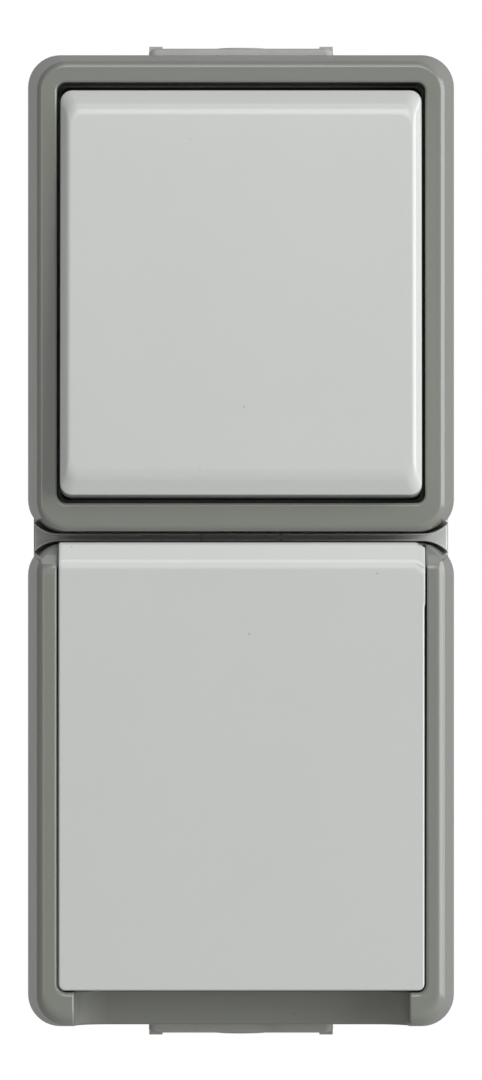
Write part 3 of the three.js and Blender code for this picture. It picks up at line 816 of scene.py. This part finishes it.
@dataclass
class SocketFrame(FrameShell):
    """The lower frame: open at the top for the lid, scooped at the foot for a finger."""

    node: str = "socket_frame"
    ends: Pair = (6.1, 4.8)
    lean: Pair = (0.63, 0.12)
    brow: float = 0.8
    crease: float = 1.9
    lip: float = 0.7
    lid_side: Pair = (5.02, 4.75)  # how far in the opening's left and right sides are
    open_depth: float = 39.6  # the top wall stops here, under the lid's hinge
    open_corner: float = 1.3
    open_over: float = 4.0  # how far past the frame's top the opening is cut
    flare: float = 5.0  # how far out the opening's rounded edge is drawn
    hole_ends: Pair = (2.2, 10.1)  # from the opening's foot and from the frame's top to the ledge's hole
    hole_corner: float = 2.0
    scoop_across: Pair = (-25.55, 25.8)
    scoop_along: Pair = (-12.0, 8.0)  # where its tool starts and stops, along the slope
    scoop_out: float = 30.0
    scoop_cove: float = 5.2
    scoop_floor: float = 42.5
    scoop_tilt: float = 0.48
    foot_back: float = 0.72
    foot_from: float = 28.0  # the bottom wall is set back from this depth on
    fall: tuple[Corner, ...] = (  # below the top, out from the face, and the radius there
        (7.5, 0.12, 0), (4.9, 0.0, 2), (3.6, -0.12, 2), (1.8, -1.1, 2), (-1.0, -3.4, 0),
    )
    post: Pair = (19.8, 23.2)
    post_sides: Pair = (-2.19, 1.3)  # below and above the pin
    eye: float = 2.2
    rounding: float = 0.3

    def block(self) -> bpy.types.Object:
        """The frame before it is opened, as one solid."""
        back, front = self.extent.w
        path = rounded_path([(0.0, back, 0), (self.slope, front - self.brow, 0.15),
                             (self.slope + self.brow, front, self.crease), (self.opening, front, 0)])
        return loft(f"{self.node}_fine", [(self.ring(inset), height) for inset, height in path[:-1]])

    def opening_tool(self) -> bpy.types.Object:
        """The tool that cuts the hole for the lid, with a flared lip, out past the frame's top."""
        front = self.extent.w[1]
        low, high = self.extent.v[0] + self.ends[0], self.extent.v[1] + self.open_over
        edge = rounded_path([(0.0, self.open_depth, 0), (0.0, front, self.lip), (-self.flare, front, 0)])
        levels = []
        for inset, height in [*edge[:-1], (-self.lip - 0.02, front + 3 * OVER)]:
            left, right = (self.extent.half - side - inset for side in self.lid_side)
            outline = Outline(-left, right, low + inset, high, self.open_corner - inset)
            levels.append((outline.points(10), height))
        return loft("opening", levels)

    def cavity(self) -> bpy.types.Object:
        """The tool that hollows the frame behind its ledge."""
        back = self.extent.w[0]
        path = ((self.wall, back - OVER / 2), (self.wall, back), (self.wall_at_ledge, self.ledge[0]))
        return loft("cavity", [(self.ring(inset), height) for inset, height in path])

    def ledge_hole(self) -> bpy.types.Object:
        """The tool that cuts the hole in the ledge, for the cover."""
        low, high = self.extent.v
        ends = (low + self.ends[0] + self.hole_ends[0], high - self.hole_ends[1])
        points = Outline.centred(self.extent.half - self.ledge_in, ends, self.hole_corner).points()
        return loft("ledge_hole", [(points, self.ledge[0] - OVER), (points, self.ledge[1] + OVER)])

    def scoop(self) -> bpy.types.Object:
        """The tool that cuts the finger scoop: flat, falling away downwards, with coved ends."""
        points = Outline(*self.scoop_across, 0.0, self.scoop_out, self.scoop_cove).points(10)
        low, high = self.scoop_along
        item = loft("scoop", [(points, high), (points, low)], Along.UP)
        start = Vector((0, -self.scoop_floor, self.extent.v[0] + self.ends[0])) * MM
        item.data.transform(Matrix.Translation(start) @ Matrix.Rotation(self.scoop_tilt, 4, "X"))
        return item

    def scoop_foot(self) -> bpy.types.Object:
        """The tool that sets the bottom wall back under the scoop."""
        low = self.extent.v[0]
        depth = (self.foot_from, self.extent.w[1])
        return brick("scoop_foot", self.scoop_across, (low - OVER, low + self.foot_back), depth)

    def top_fall(self) -> bpy.types.Object:
        """The tool that makes the tops of the side bars fall away, in line with the lid's top edge."""
        top, front = self.extent.v[1], self.extent.w[1]
        path = rounded_path([(top - below, front + out, radius) for below, out, radius in self.fall])
        points = [*path, (path[-1][0], front + 2 * OVER), (path[0][0], front + 2 * OVER)]
        reach = self.extent.half + 2 * OVER
        return loft("top_fall", [(points, -reach), (points, reach)], Along.ACROSS)

    def posts(self) -> list[bpy.types.Object]:
        """The two hinge posts, each with an eye for the pin."""
        made = []
        v, w = HINGE
        below, above = self.post_sides
        for side in (-1, 1):
            u = on_side(side, *self.post)
            stem = brick("post", u, (v + below, v + above), (self.ledge[0] + 0.2, w))
            combine(stem, [bar("eye", HINGE, self.eye, u, Along.ACROSS)], Operation.JOIN)
            through = (u[0] - OVER, u[1] + OVER)
            combine(stem, [bar("eye_hole", HINGE, PIN_HOLE, through, Along.ACROSS)], Operation.CUT)
            made.append(stem)
        return made

    def build(self, wardrobe: Wardrobe) -> None:
        """Build and dress the frame."""
        item = self.block()
        tools = [self.cavity(), self.ledge_hole(), self.opening_tool(), self.scoop(), self.scoop_foot(),
                 self.top_fall()]
        combine(item, tools, Operation.CUT)
        combine(item, self.posts(), Operation.JOIN)
        soften(item, self.rounding)
        wardrobe.fit(item, Body.HOUSING, Slot.DARK, self.node)


@dataclass
class BaseBox:
    """The pale box on the wall, with two chambers, a rim round each mouth and a ridge between the frames."""

    node: str = "base_box"
    corner: float = 4.0
    draft: float = 0.5
    shoulder: float = 30.0
    floor: float = 2.2
    wall: float = 2.5
    rim_half: float = 29.8
    rim_top: float = 36.5
    rim_wall: float = 1.2
    rim_corner: float = 2.6
    rim_in: float = 3.2  # how far the rim is inside the frame's ends
    web: Pair = (-1.1, 2.1)
    ridge_top: float = 38.0
    frame_out: float = 0.9  # how far the frames stand out past the box's sides
    frame_corner: float = 5.0
    edging_away: Pair = (0.50, 0.22)  # how far outside the frame's edge the raised line is
    edging_ends: Pair = (-5.5, 6.5)
    nick_at: float = 6.1
    nick: float = 0.12
    slot_at: Pair = (21.0, 58.0)
    slot_half: Pair = (2.0, 4.0)
    slot_corner: float = 1.99
    fixing: float = 26.0  # from an insert's middle to each of its pillars
    pillar: float = 3.6
    screw_hole: Pair = (1.9, 10.0)  # its radius and its depth
    rests: tuple[tuple[str, float, float], ...] = (  # each insert, its middle and its pillars' tops
        ("switch", SWITCH_MIDDLE, 31.1), ("socket", SOCKET_MIDDLE, 16.7),
    )
    chamber_top: float = 27.0
    mouth_from: float = 26.0
    passage: tuple[Pair, Pair, Pair] = ((-6.1, 6.1), (-2.1, 3.1), (12.0, 24.0))
    entry_half: float = 13.3
    entry_ends: Pair = (68.8, 76.0)
    entry_depth: Pair = (9.0, 25.4)
    extent: Extent = field(init=False)

    def __post_init__(self) -> None:
        """Read the box's extent."""
        self.extent = Extent.of(self.node)

    def body(self) -> bpy.types.Object:
        """The outer block, drafted at the wall and with a soft shoulder."""
        half, end = self.extent.half, self.extent.v[1]
        path = rounded_path([(self.draft, 0.0, 0), (0.0, self.floor, 0.3), (0.0, self.shoulder, 0.4),
                             (3.0, self.shoulder, 0)])
        outer = Outline.centred(half, (-end, end), self.corner)
        levels = [(outer.inset(inset).points(), height) for inset, height in path]
        return loft("base_box_fine", levels)

    def mouth(self, frame_ends: Pair, inset: float, depth: Pair) -> bpy.types.Object:
        """A block with the shape of a chamber's rim.

        Args:
            frame_ends: The ends of the frame that covers the rim.
            inset: How far inside the rim's outside the block is.
            depth: Where the block starts and stops, out from the wall.

        Returns:
            The block.
        """
        ends = (frame_ends[0] + self.rim_in, frame_ends[1] - self.rim_in)
        points = Outline.centred(self.rim_half, ends, self.rim_corner).inset(inset).points()
        return loft("mouth", [(points, depth[0]), (points, depth[1])])

    def slots(self) -> list[bpy.types.Object]:
        """The four slots in the floor for the wall's screws."""
        made = []
        for side in (-1, 1):
            for end in (-1, 1):
                u, v = side * self.slot_at[0], end * self.slot_at[1]
                across, up = self.slot_half if side == end else reversed(self.slot_half)
                points = Outline(u - across, u + across, v - up, v + up, self.slot_corner).points()
                made.append(loft("slot", [(points, -OVER), (points, self.floor + OVER)]))
        return made

    def pillars(self, middle: float, top: float) -> tuple[list[bpy.types.Object], list[bpy.types.Object]]:
        """The pillars that carry an insert's plate.

        Args:
            middle: The middle height of the insert.
            top: How far out the pillars reach.

        Returns:
            The pillars, and the tools that cut their screw holes.
        """
        places = [(0.0, middle - self.fixing), (0.0, middle + self.fixing)]
        radius, deep = self.screw_hole
        posts = [bar("pillar", at, self.pillar, (self.floor - 1, top), Along.OUT, 0.2) for at in places]
        holes = [bar("pillar_hole", at, radius, (top - deep, top + OVER), Along.OUT) for at in places]
        return posts, holes

    def edging(self, frame_ends: Pair) -> bpy.types.Object:
        """The thin raised line that follows a frame's edge where the two frames meet.

        Args:
            frame_ends: The ends of the frame that it follows.

        Returns:
            The line, as one strip that reaches the box's sides.
        """
        edge = Outline.centred(self.extent.half + self.frame_out, frame_ends, self.frame_corner)
        outer, inner = (edge.inset(-away).points(16) for away in self.edging_away)
        strip = loft("edging", [(outer, self.shoulder - 0.5), (outer, self.ridge_top)])
        hole = loft("inside", [(inner, self.shoulder - 2 * OVER), (inner, self.ridge_top + OVER)])
        combine(strip, [hole], Operation.CUT)
        half = self.extent.half - 0.15
        combine(strip, [brick("reach", (-half, half), self.edging_ends, (20.0, 60.0))], Operation.KEEP)
        for u in (-self.nick_at, self.nick_at):
            across = (u - self.nick, u + self.nick)
            nick = brick("nick", across, self.edging_ends, (self.shoulder + 0.5, 60))
            combine(strip, [nick], Operation.CUT)
        return strip

    def build(self, wardrobe: Wardrobe) -> None:
        """Build and dress the box."""
        item = self.body()
        half, end = self.extent.half - self.wall, self.extent.v[1] - self.wall
        for chamber in ((self.web[1], end), (-end, self.web[0])):
            points = Outline.centred(half, chamber, self.corner - 2).points()
            hollow = loft("chamber", [(points, self.floor), (points, self.chamber_top)])
            combine(item, [hollow], Operation.CUT)
        for name, middle, top in self.rests:
            ends = Extent.of(f"{name}_frame").v
            mouth = self.mouth(ends, self.rim_wall, (self.mouth_from, self.shoulder + OVER))
            combine(item, [mouth], Operation.CUT)
            rim = self.mouth(ends, 0.0, (self.shoulder - 1, self.rim_top))
            combine(rim, [self.mouth(ends, self.rim_wall, (self.shoulder - 2, 60))], Operation.CUT)
            posts, holes = self.pillars(middle, top)
            combine(item, [rim, *posts], Operation.JOIN)
            combine(item, holes, Operation.CUT)
        for name, _, _ in self.rests:
            combine(item, [self.edging(Extent.of(f"{name}_frame").v)], Operation.JOIN)
        combine(item, [brick("passage", *self.passage)], Operation.CUT)
        for end in (1, -1):
            across = (-self.entry_half, self.entry_half)
            notch = brick("notch", across, on_side(end, *self.entry_ends), self.entry_depth)
            combine(item, [notch], Operation.CUT)
        combine(item, self.slots(), Operation.CUT)
        soften(item, 0.12, steps=2)
        wardrobe.fit(item, Body.HOUSING, Slot.PALE, self.node)


@dataclass
class CableEntry:
    """A soft grommet with a domed membrane that a cable is pushed through."""

    node: str
    end: int
    depth: Pair = (8.0, 26.6)
    half: float = 14.3
    throat: float = 13.0
    groove: Pair = (71.5, 74.6)
    out: float = 76.4
    lip: float = 1.6
    cup: Pair = (6.85, 3.05)  # radius of the hollow behind the membrane, at its mouth and at its end
    foot: float = 2.1  # width of the raised foot at either side
    dome: tuple[Pair, ...] = (  # the membrane's rings: radius, and how far out from the plate
        (5.6, -0.9), (5.2, 0.12), (4.7, 0.12), (4.5, -0.05),
        (4.05, -0.05), (3.85, 0.38), (3.4, 0.4), (0.8, 0.1),
    )

    def across(self, half: float, depth: Pair, radius: float) -> list[Pair]:
        """The outline of one level of the grommet."""
        return Outline(-half, half, depth[0], depth[1], radius).points()

    def build(self, wardrobe: Wardrobe) -> None:
        """Build and dress the grommet."""
        back, front = self.depth
        near, far = self.groove
        path = [
            (self.half - 0.3, 0.3, near - self.lip), (self.half, 0.0, near - self.lip + 0.3),
            (self.half, 0.0, near), (self.throat, 1.4, near), (self.throat, 1.4, far),
            (self.half - 0.15, 0.15, far), (self.half, 0.0, far + 0.25), (self.half, 0.0, self.out - 0.55),
            (self.half - 0.2, 0.15, self.out - 0.2), (self.half - 0.55, 0.5, self.out),
        ]
        levels = [(self.across(half, (back + inset, front - inset), 1.2), self.end * height)
                  for half, inset, height in path]
        item = loft(f"{self.node}_fine", levels, Along.UP)
        middle = sum(self.depth) / 2
        crown = [(radius, self.end * (self.out + rise)) for radius, rise in self.dome]
        dome = turning("dome", (0.0, middle), crown, Along.UP)
        feet = []
        for side in (-1, 1):
            u = on_side(side, self.half - 0.05, self.half - self.foot)
            v = on_side(self.end, self.out - 1, self.out + 0.3)
            feet.append(brick("foot", u, v, (back + 0.6, front - 0.6)))
        combine(item, [dome, *feet], Operation.JOIN)
        wide, narrow = self.cup
        hollow = [(wide, self.end * (near - self.lip - OVER)), (narrow, self.end * (far - 0.9))]
        cup = turning("cup", (0.0, middle), hollow, Along.UP)
        combine(item, [cup], Operation.CUT)
        wardrobe.fit(item, Body.HOUSING, Slot.GROMMET, self.node)


@dataclass
class RockerCap:
    """The big pale key: sloped at its ends, rounded at its sides, and tilted to its rest position."""

    node: str = "rocker_cap"
    half: float = 27.65
    ends: Pair = (-31.3, 30.8)
    depth: Pair = (-2.5, 5.5)
    corner: float = 1.8
    wall: float = 2.0
    drop: float = 1.5  # how far the ends fall from the face
    incline: float = 2.9
    side: float = 1.15
    flat_from: float = 9.0  # how far in the face is flat
    clip_half: float = 6.0
    clip: Pair = (9.4, 10.6)
    joint: str = "rocker_tilt"

    def tilt(self) -> Matrix:
        """Where the key's own axes lie in the row frame at rest."""
        joint = next(item for item in frame["joints"] if item["name"] == self.joint)
        turn = math.radians(-sum(joint["range_deg"]) / 2)
        return Matrix.Translation(joint["pos_m"]) @ Matrix.Rotation(turn, 4, "X")

    def skin(self) -> bpy.types.Object:
        """The outside of the key."""
        back, face = self.depth
        start, fold = self.flat_from, face - self.drop
        at_side, at_ends = (
            rounded_path([(-flare, back, 0), (0, fold, low), (reach, face, high), (start, face, 0)])
            for flare, reach, low, high in ((0.1, self.side, 0.5, 1.1), (0.15, self.incline, 0.3, 4.5))
        )
        steps = 8
        rings = []
        for (side, height), (end, lower) in zip(at_side, at_ends):
            ends = (self.ends[0] + end, self.ends[1] - end)
            points = Outline.centred(self.half - side, ends, self.corner).points(steps)
            ring = []
            for index, (u, v) in enumerate(points):
                quarter, step = divmod(index, steps + 1)
                share = step / steps if quarter % 2 == 0 else 1 - step / steps
                ring.append(Along.OUT.place(u, v, height + (lower - height) * share))
            rings.append(ring)
        return join_rings(f"{self.node}_fine", rings)

    def build(self, wardrobe: Wardrobe) -> None:
        """Build and dress the key."""
        item = self.skin()
        back, face = self.depth
        ends = (self.ends[0] + self.wall, self.ends[1] - self.wall)
        inside = Outline.centred(self.half - self.wall, ends, 1.0).points()
        hollow = loft("hollow", [(inside, back - OVER), (inside, face - self.wall)])
        combine(item, [hollow], Operation.CUT)
        across = (-self.clip_half, self.clip_half)
        clips = [brick("clip", across, on_side(side, *self.clip), (0.5, face - self.wall + 0.5))
                 for side in (-1, 1)]
        combine(item, clips, Operation.JOIN)
        item.data.transform(self.tilt())
        wardrobe.fit(item, Body.ROCKER, Slot.PALE, self.node)


@dataclass
class SocketLid:
    """The sprung lid: flat, with a sloped top edge that runs into its hinge ears."""

    node: str = "socket_lid"
    half: Pair = (27.9, 28.05)  # to the left and to the right
    ear: float = 28.16
    ear_foot: float = -9.8
    chamfer: Pair = (1.35, 0.8)  # off the right upper corner, across and down
    ends: Pair = (-68.8, -0.25)
    depth: Pair = (44.3, 50.5)
    edge: float = 0.3
    foot: float = 1.0
    wall: float = 1.9
    skin_face: float = 2.3
    post: Pair = (19.4, 23.6)  # the gap for each of the frame's posts
    ear_block: Pair = (23.6, 27.5)
    incline: tuple[Corner, ...] = (  # below the top, in from the face, and the radius there
        (0.0, 1.5, 0.8), (2.7, 0.2, 2.5), (4.1, 0.0, 4.0), (6.0, 0.0, 0),
    )

    def skin(self) -> bpy.types.Object:
        """The outside of the lid."""
        back, face = self.depth
        bends = [(below, face - sunk, radius) for below, sunk, radius in self.incline]
        path = [(0.0, back)] + rounded_path([(0.0, back + 0.3, 0), *bends], steps=5)[:-1]
        rounding = {face - self.edge * share for share in (0.9, 0.7, 0.5, 0.3)}
        heights = sorted({round(w, 4) for _, w in path} | rounding)
        levels = []
        for w in heights:
            rise = max(w - (face - self.edge), 0.0)
            side = self.edge - math.sqrt(max(self.edge ** 2 - rise ** 2, 0.0))
            levels.append((self.outline(side, self.top_inset(path, w)), w))
        levels.append((self.outline(self.edge + 2, self.incline[-1][0]), face))
        return loft(f"{self.node}_fine", levels)

    def outline(self, side: float, top: float) -> list[Pair]:
        """One level of the lid's outside.

        Args:
            side: How far in the sides and the foot are.
            top: How far down the top edge is.

        Returns:
            The level's points.
        """
        left, right, ear = (reach - side for reach in (*self.half, self.ear))
        high = self.ends[1] - top
        steps = 8
        foot = max(self.foot - side, 0.3)
        points = Outline(-left, right, self.ends[0] + side, high, foot, 0.35).points(steps)
        across, down = self.chamfer
        corner = [(right, self.ear_foot - 0.15), (ear, self.ear_foot), (ear, high - down),
                  (ear - across, high)]
        return corner + points[steps + 1:]

    def top_inset(self, path: Sequence[Pair], height: float) -> float:
        """How far down the top edge is at some depth."""
        for (low_inset, low), (high_inset, high) in zip(path, path[1:]):
            if low <= height <= high and high > low:
                return low_inset + (high_inset - low_inset) * (height - low) / (high - low)
        return path[-1][0]

    def ears(self) -> list[bpy.types.Object]:
        """The blocks at the top of either side that hold the pin."""
        v, w = HINGE
        up, out = (v - 2.2, self.ends[1] - 0.5), (w - 2.4, self.depth[1] - 1.6)
        return [brick("ear_block", on_side(side, *self.ear_block), up, out) for side in (-1, 1)]

    def build(self, wardrobe: Wardrobe) -> None:
        """Build and dress the lid."""
        item = self.skin()
        low, high = self.ends
        back, face = self.depth
        left, right = self.half
        inside = Outline(self.wall - left, right - self.wall, low + 1.8, high - 1.5, 0.8).points()
        hollow = loft("hollow", [(inside, back - OVER), (inside, face - self.skin_face)])
        combine(item, [hollow], Operation.CUT)
        combine(item, self.ears(), Operation.JOIN)
        v, w = HINGE
        up, out = (v - 3, high + OVER), (back - 2 * OVER, w + 2.4)
        notches = [brick("notch", on_side(side, *self.post), up, out) for side in (-1, 1)]
        bore = bar("bore", HINGE, PIN_HOLE, (0.6 - left, right - 0.6), Along.ACROSS)
        combine(item, [*notches, bore], Operation.CUT)
        soften(item, 0.1, steps=2)
        wardrobe.fit(item, Body.LID, Slot.PALE, self.node)


@dataclass
class SocketCover:
    """The pale plate under the lid with the round recess for a plug."""

    node: str = "socket_cover"
    half: float = 27.4
    ends: Pair = (-68.4, -9.0)
    depth: Pair = (40.0, 43.2)
    dish: Pair = (19.5, 21.2)
    lip_rise: float = 0.35
    rib: Pair = (17.3, 2.4)  # where it starts, and half its width
    clip_slot: Pair = (3.1, 16.6)  # half its width, and where it starts
    floor: Pair = (23.6, 25.2)
    pin_at: float = 9.5
    pin_hole: float = 2.8
    boss: float = 3.6
    boss_back: float = 21.8
    screw_hole: Pair = (1.7, 2.9)
    screw_seat: float = 22.9

    def build(self, wardrobe: Wardrobe) -> None:
        """Build and dress the plate."""
        back, front = self.depth
        inner, outer = self.dish
        at = (0.0, SOCKET_MIDDLE)
        deep, seat = self.floor
        path = rounded_path([(1.0, back, 0), (0.0, back, 0.2), (0.0, front, 0.5), (3.0, front, 0)])
        plate = Outline.centred(self.half, self.ends, 2.0)
        item = loft(f"{self.node}_fine", [(plate.inset(inset).points(), height) for inset, height in path])
        bowl = bar("bowl", at, outer, (deep, back + 1), Along.OUT, steps=24)
        rise = front + self.lip_rise
        crown = rounded_path([(outer + 1.0, front - 1, 0), (outer + 0.8, rise, self.lip_rise),
                              (inner, rise, 0)])
        lip = turning("lip", at, crown, Along.OUT, 24)
        boss = bar("boss", at, self.boss, (self.boss_back, deep + 0.5), Along.OUT, 0.2)
        combine(item, [bowl, lip, boss], Operation.JOIN)
        well = rounded_path([(1.0, seat, 0), (inner, seat, 0.6), (inner, front + 2 * OVER, 0)])
        combine(item, [turning("well", at, well, Along.OUT, 24)], Operation.CUT)
        start, half = self.rib
        up, out = (SOCKET_MIDDLE - half, SOCKET_MIDDLE + half), (seat - 0.5, front - 0.3)
        ribs = [brick("rib", on_side(side, start, inner + 0.6), up, out) for side in (-1, 1)]
        combine(item, ribs, Operation.JOIN)
        half, start = self.clip_slot
        wide = self.pin_hole + 0.7
        hole = [(self.pin_hole, deep - OVER), (self.pin_hole, seat - 0.7), (wide, seat), (wide, seat + OVER)]
        tools = []
        for side in (-1, 1):
            low, high = on_side(side, start, outer + OVER)
            up, out = (SOCKET_MIDDLE + low, SOCKET_MIDDLE + high), (deep - OVER, back - 0.4)
            tools.append(brick("clip_slot", (-half, half), up, out))
            tools.append(turning("pin_hole", (side * self.pin_at, SOCKET_MIDDLE), hole, Along.OUT))
        shank, head = self.screw_hole
        tools.append(bar("screw_hole", at, shank, (self.boss_back - OVER, front), Along.OUT))
        tools.append(bar("screw_recess", at, head, (self.screw_seat, front), Along.OUT))
        combine(item, tools, Operation.CUT)
        soften(item, 0.15, steps=2)
        wardrobe.fit(item, Body.HOUSING, Slot.PALE, self.node)


@dataclass
class Hinge:
    """The lid's steel pin and its return spring."""

    pin: float = 1.0
    coil: float = 1.7
    wire: float = 0.33
    pitch: float = 1.1
    turns: int = 8

    def build(self, wardrobe: Wardrobe) -> None:
        """Build and dress the pin and the spring."""
        extent = Extent.of("lid_hinge_pin")
        pin = bar("lid_hinge_pin_fine", HINGE, self.pin, extent.u, Along.ACROSS, 0.3, 6)
        wardrobe.fit(pin, Body.HOUSING, Slot.ZINC, "lid_hinge_pin")
        steps = self.turns * 24
        length = self.pitch * self.turns
        v, w = HINGE
        points = []
        for step in range(steps + 1):
            turn = 2 * math.pi * self.turns * step / steps
            along = length * (step / steps - 0.5)
            points.append(Vector((along, v + self.coil * math.sin(turn), w - self.coil * math.cos(turn))))
        wardrobe.fit(rod_along("lid_spring_fine", points, self.wire), Body.HOUSING, Slot.ZINC, "lid_spring")


@dataclass
class LidSeal:
    """The soft ring inside the lid that presses round the recess."""

    node: str = "lid_seal"
    radii: Pair = (22.2, 23.8)

    def build(self, wardrobe: Wardrobe) -> None:
        """Build and dress the ring."""
        low, high = Extent.of(self.node).w
        inner, outer = self.radii
        section = [(inner, low, 0.5), (outer, low, 0.5), (outer, high, 0.1), (inner, high, 0.1)]
        path = rounded_path(section, closed=True)
        levels = [(Outline.circle(0.0, SOCKET_MIDDLE, radius).points(24), height) for radius, height in path]
        wardrobe.fit(loft(f"{self.node}_fine", levels, closed=True), Body.LID, Slot.SEAL, self.node)


# ---- Studio ----


@dataclass(frozen=True)
class Lamp:
    """A soft rectangular lamp that points at the unit."""

    name: str
    place: tuple[float, float, float]
    size: Pair
    power: float

    def build(self) -> None:
        """Hang the lamp."""
        light = bpy.data.lights.new(self.name, "AREA")
        light.shape = "RECTANGLE"
        light.size, light.size_y = self.size
        light.energy = self.power
        item = bpy.data.objects.new(self.name, light)
        item.location = self.place
        item.rotation_euler = (-Vector(self.place)).to_track_quat("-Z", "Y").to_euler()
        bpy.context.scene.collection.objects.link(item)


@dataclass
class Studio:
    """A pale floor, a white room and soft lamps, seen by a long lens from straight in front."""

    distance: float = 1.600
    frame_height: float = 0.1673
    front: float = 0.030  # the depth of the unit that fills the frame to that height
    sensor: float = 36.0
    eye_height: float = 0.0001
    sight: float = 20.0  # how far the camera sees
    floor_z: float = -0.25
    floor_half: float = 0.9
    floor_thick: float = 0.01
    room_seen: float = 1.0
    room_light: Pair = (0.18, 0.36)  # in front of the unit and behind it
    room_turn: Pair = (-0.2, 0.4)  # where the light changes, out from the wall to behind it
    lamps: tuple[Lamp, ...] = (
        Lamp("front", (0.10, -1.45, 0.70), (0.6, 0.6), 6.1),
        Lamp("right", (1.35, -0.65, 0.25), (1.5, 1.0), 23.5),
        Lamp("top", (0.0, -0.95, 1.15), (0.4, 0.3), 1.1),
        Lamp("left", (-0.70, -1.45, 0.10), (0.5, 0.6), 2.0),
    )

    def world(self) -> None:
        """Make the room: pure white where it is looked at, dimmer as a light."""
        room = bpy.data.worlds.new("white_room")
        bpy.context.scene.world = room
        room.use_nodes = True
        tree = room.node_tree
        tree.nodes.clear()
        path = add(tree, "ShaderNodeLightPath")
        way = add(tree, "ShaderNodeSeparateXYZ", None,
                  {0: add(tree, "ShaderNodeTexCoord").outputs["Generated"]})
        light = add(tree, "ShaderNodeMapRange",
                    {"From Min": self.room_turn[0], "From Max": self.room_turn[1],
                     "To Min": self.room_light[0], "To Max": self.room_light[1]},
                    {"Value": way.outputs["Y"]})
        strength = add(tree, "ShaderNodeMix", {3: self.room_seen},
                       {0: path.outputs["Is Camera Ray"], 2: light.outputs[0]})
        shader = add(tree, "ShaderNodeBackground", {"Color": (1.0, 1.0, 1.0, 1.0)},
                     {"Strength": strength.outputs[0]})
        add(tree, "ShaderNodeOutputWorld", None, {"Surface": shader.outputs[0]})

    def floor(self) -> None:
        """Lay the floor, a thin slab with a faint mottle."""
        half = self.floor_half
        mesh = bmesh.new()
        bmesh.ops.create_grid(mesh, x_segments=8, y_segments=8, size=half)
        data = bpy.data.meshes.new("floor")
        mesh.to_mesh(data)
        mesh.free()
        item = bpy.data.objects.new("floor", data)
        item.location.z = self.floor_z
        bpy.context.scene.collection.objects.link(item)
        thick = item.modifiers.new("slab", "SOLIDIFY")
        thick.thickness = self.floor_thick
        data.materials.append(MouldedPlastic("floor_paint", "#BDBDB9", 0.6, mottle=0.01).material())

    def camera(self) -> None:
        """Set up the camera."""
        lens = bpy.data.cameras.new("camera")
        lens.sensor_fit = "VERTICAL"
        lens.sensor_height = self.sensor
        lens.lens = self.sensor * (self.distance - self.front) / self.frame_height
        lens.clip_end = self.sight
        item = bpy.data.objects.new("camera", lens)
        item.location = (0, -self.distance, self.eye_height)
        item.rotation_euler = (math.pi / 2, 0, 0)
        bpy.context.scene.collection.objects.link(item)
        bpy.context.scene.camera = item

    def build(self) -> None:
        """Build the room, the floor, the lamps and the camera."""
        self.world()
        self.floor()
        for lamp in self.lamps:
            lamp.build()
        self.camera()
        bpy.context.scene.view_settings.view_transform = "Standard"


# ---- The whole unit ----

PARTS = (
    BaseBox(),
    CableEntry("cable_entry_top", 1),
    CableEntry("cable_entry_bottom", -1),
    FrameShell("switch_frame"),
    SocketFrame(),
    RockerCap(),
    SocketLid(),
    SocketCover(),
    Hinge(),
    LidSeal(),
)


def main() -> None:
    """Build the studio and every sub-assembly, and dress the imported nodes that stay."""
    logging.basicConfig(level=logging.INFO, format="%(name)s: %(message)s")
    Studio().build()
    wardrobe = Wardrobe(FINISHES)
    for part in PARTS:
        LOG.info("building %s", type(part).__name__)
        part.build(wardrobe)
    for node in frame["nodes"]:
        wardrobe.dress_node(node)


if __name__ == "__main__":
    main()
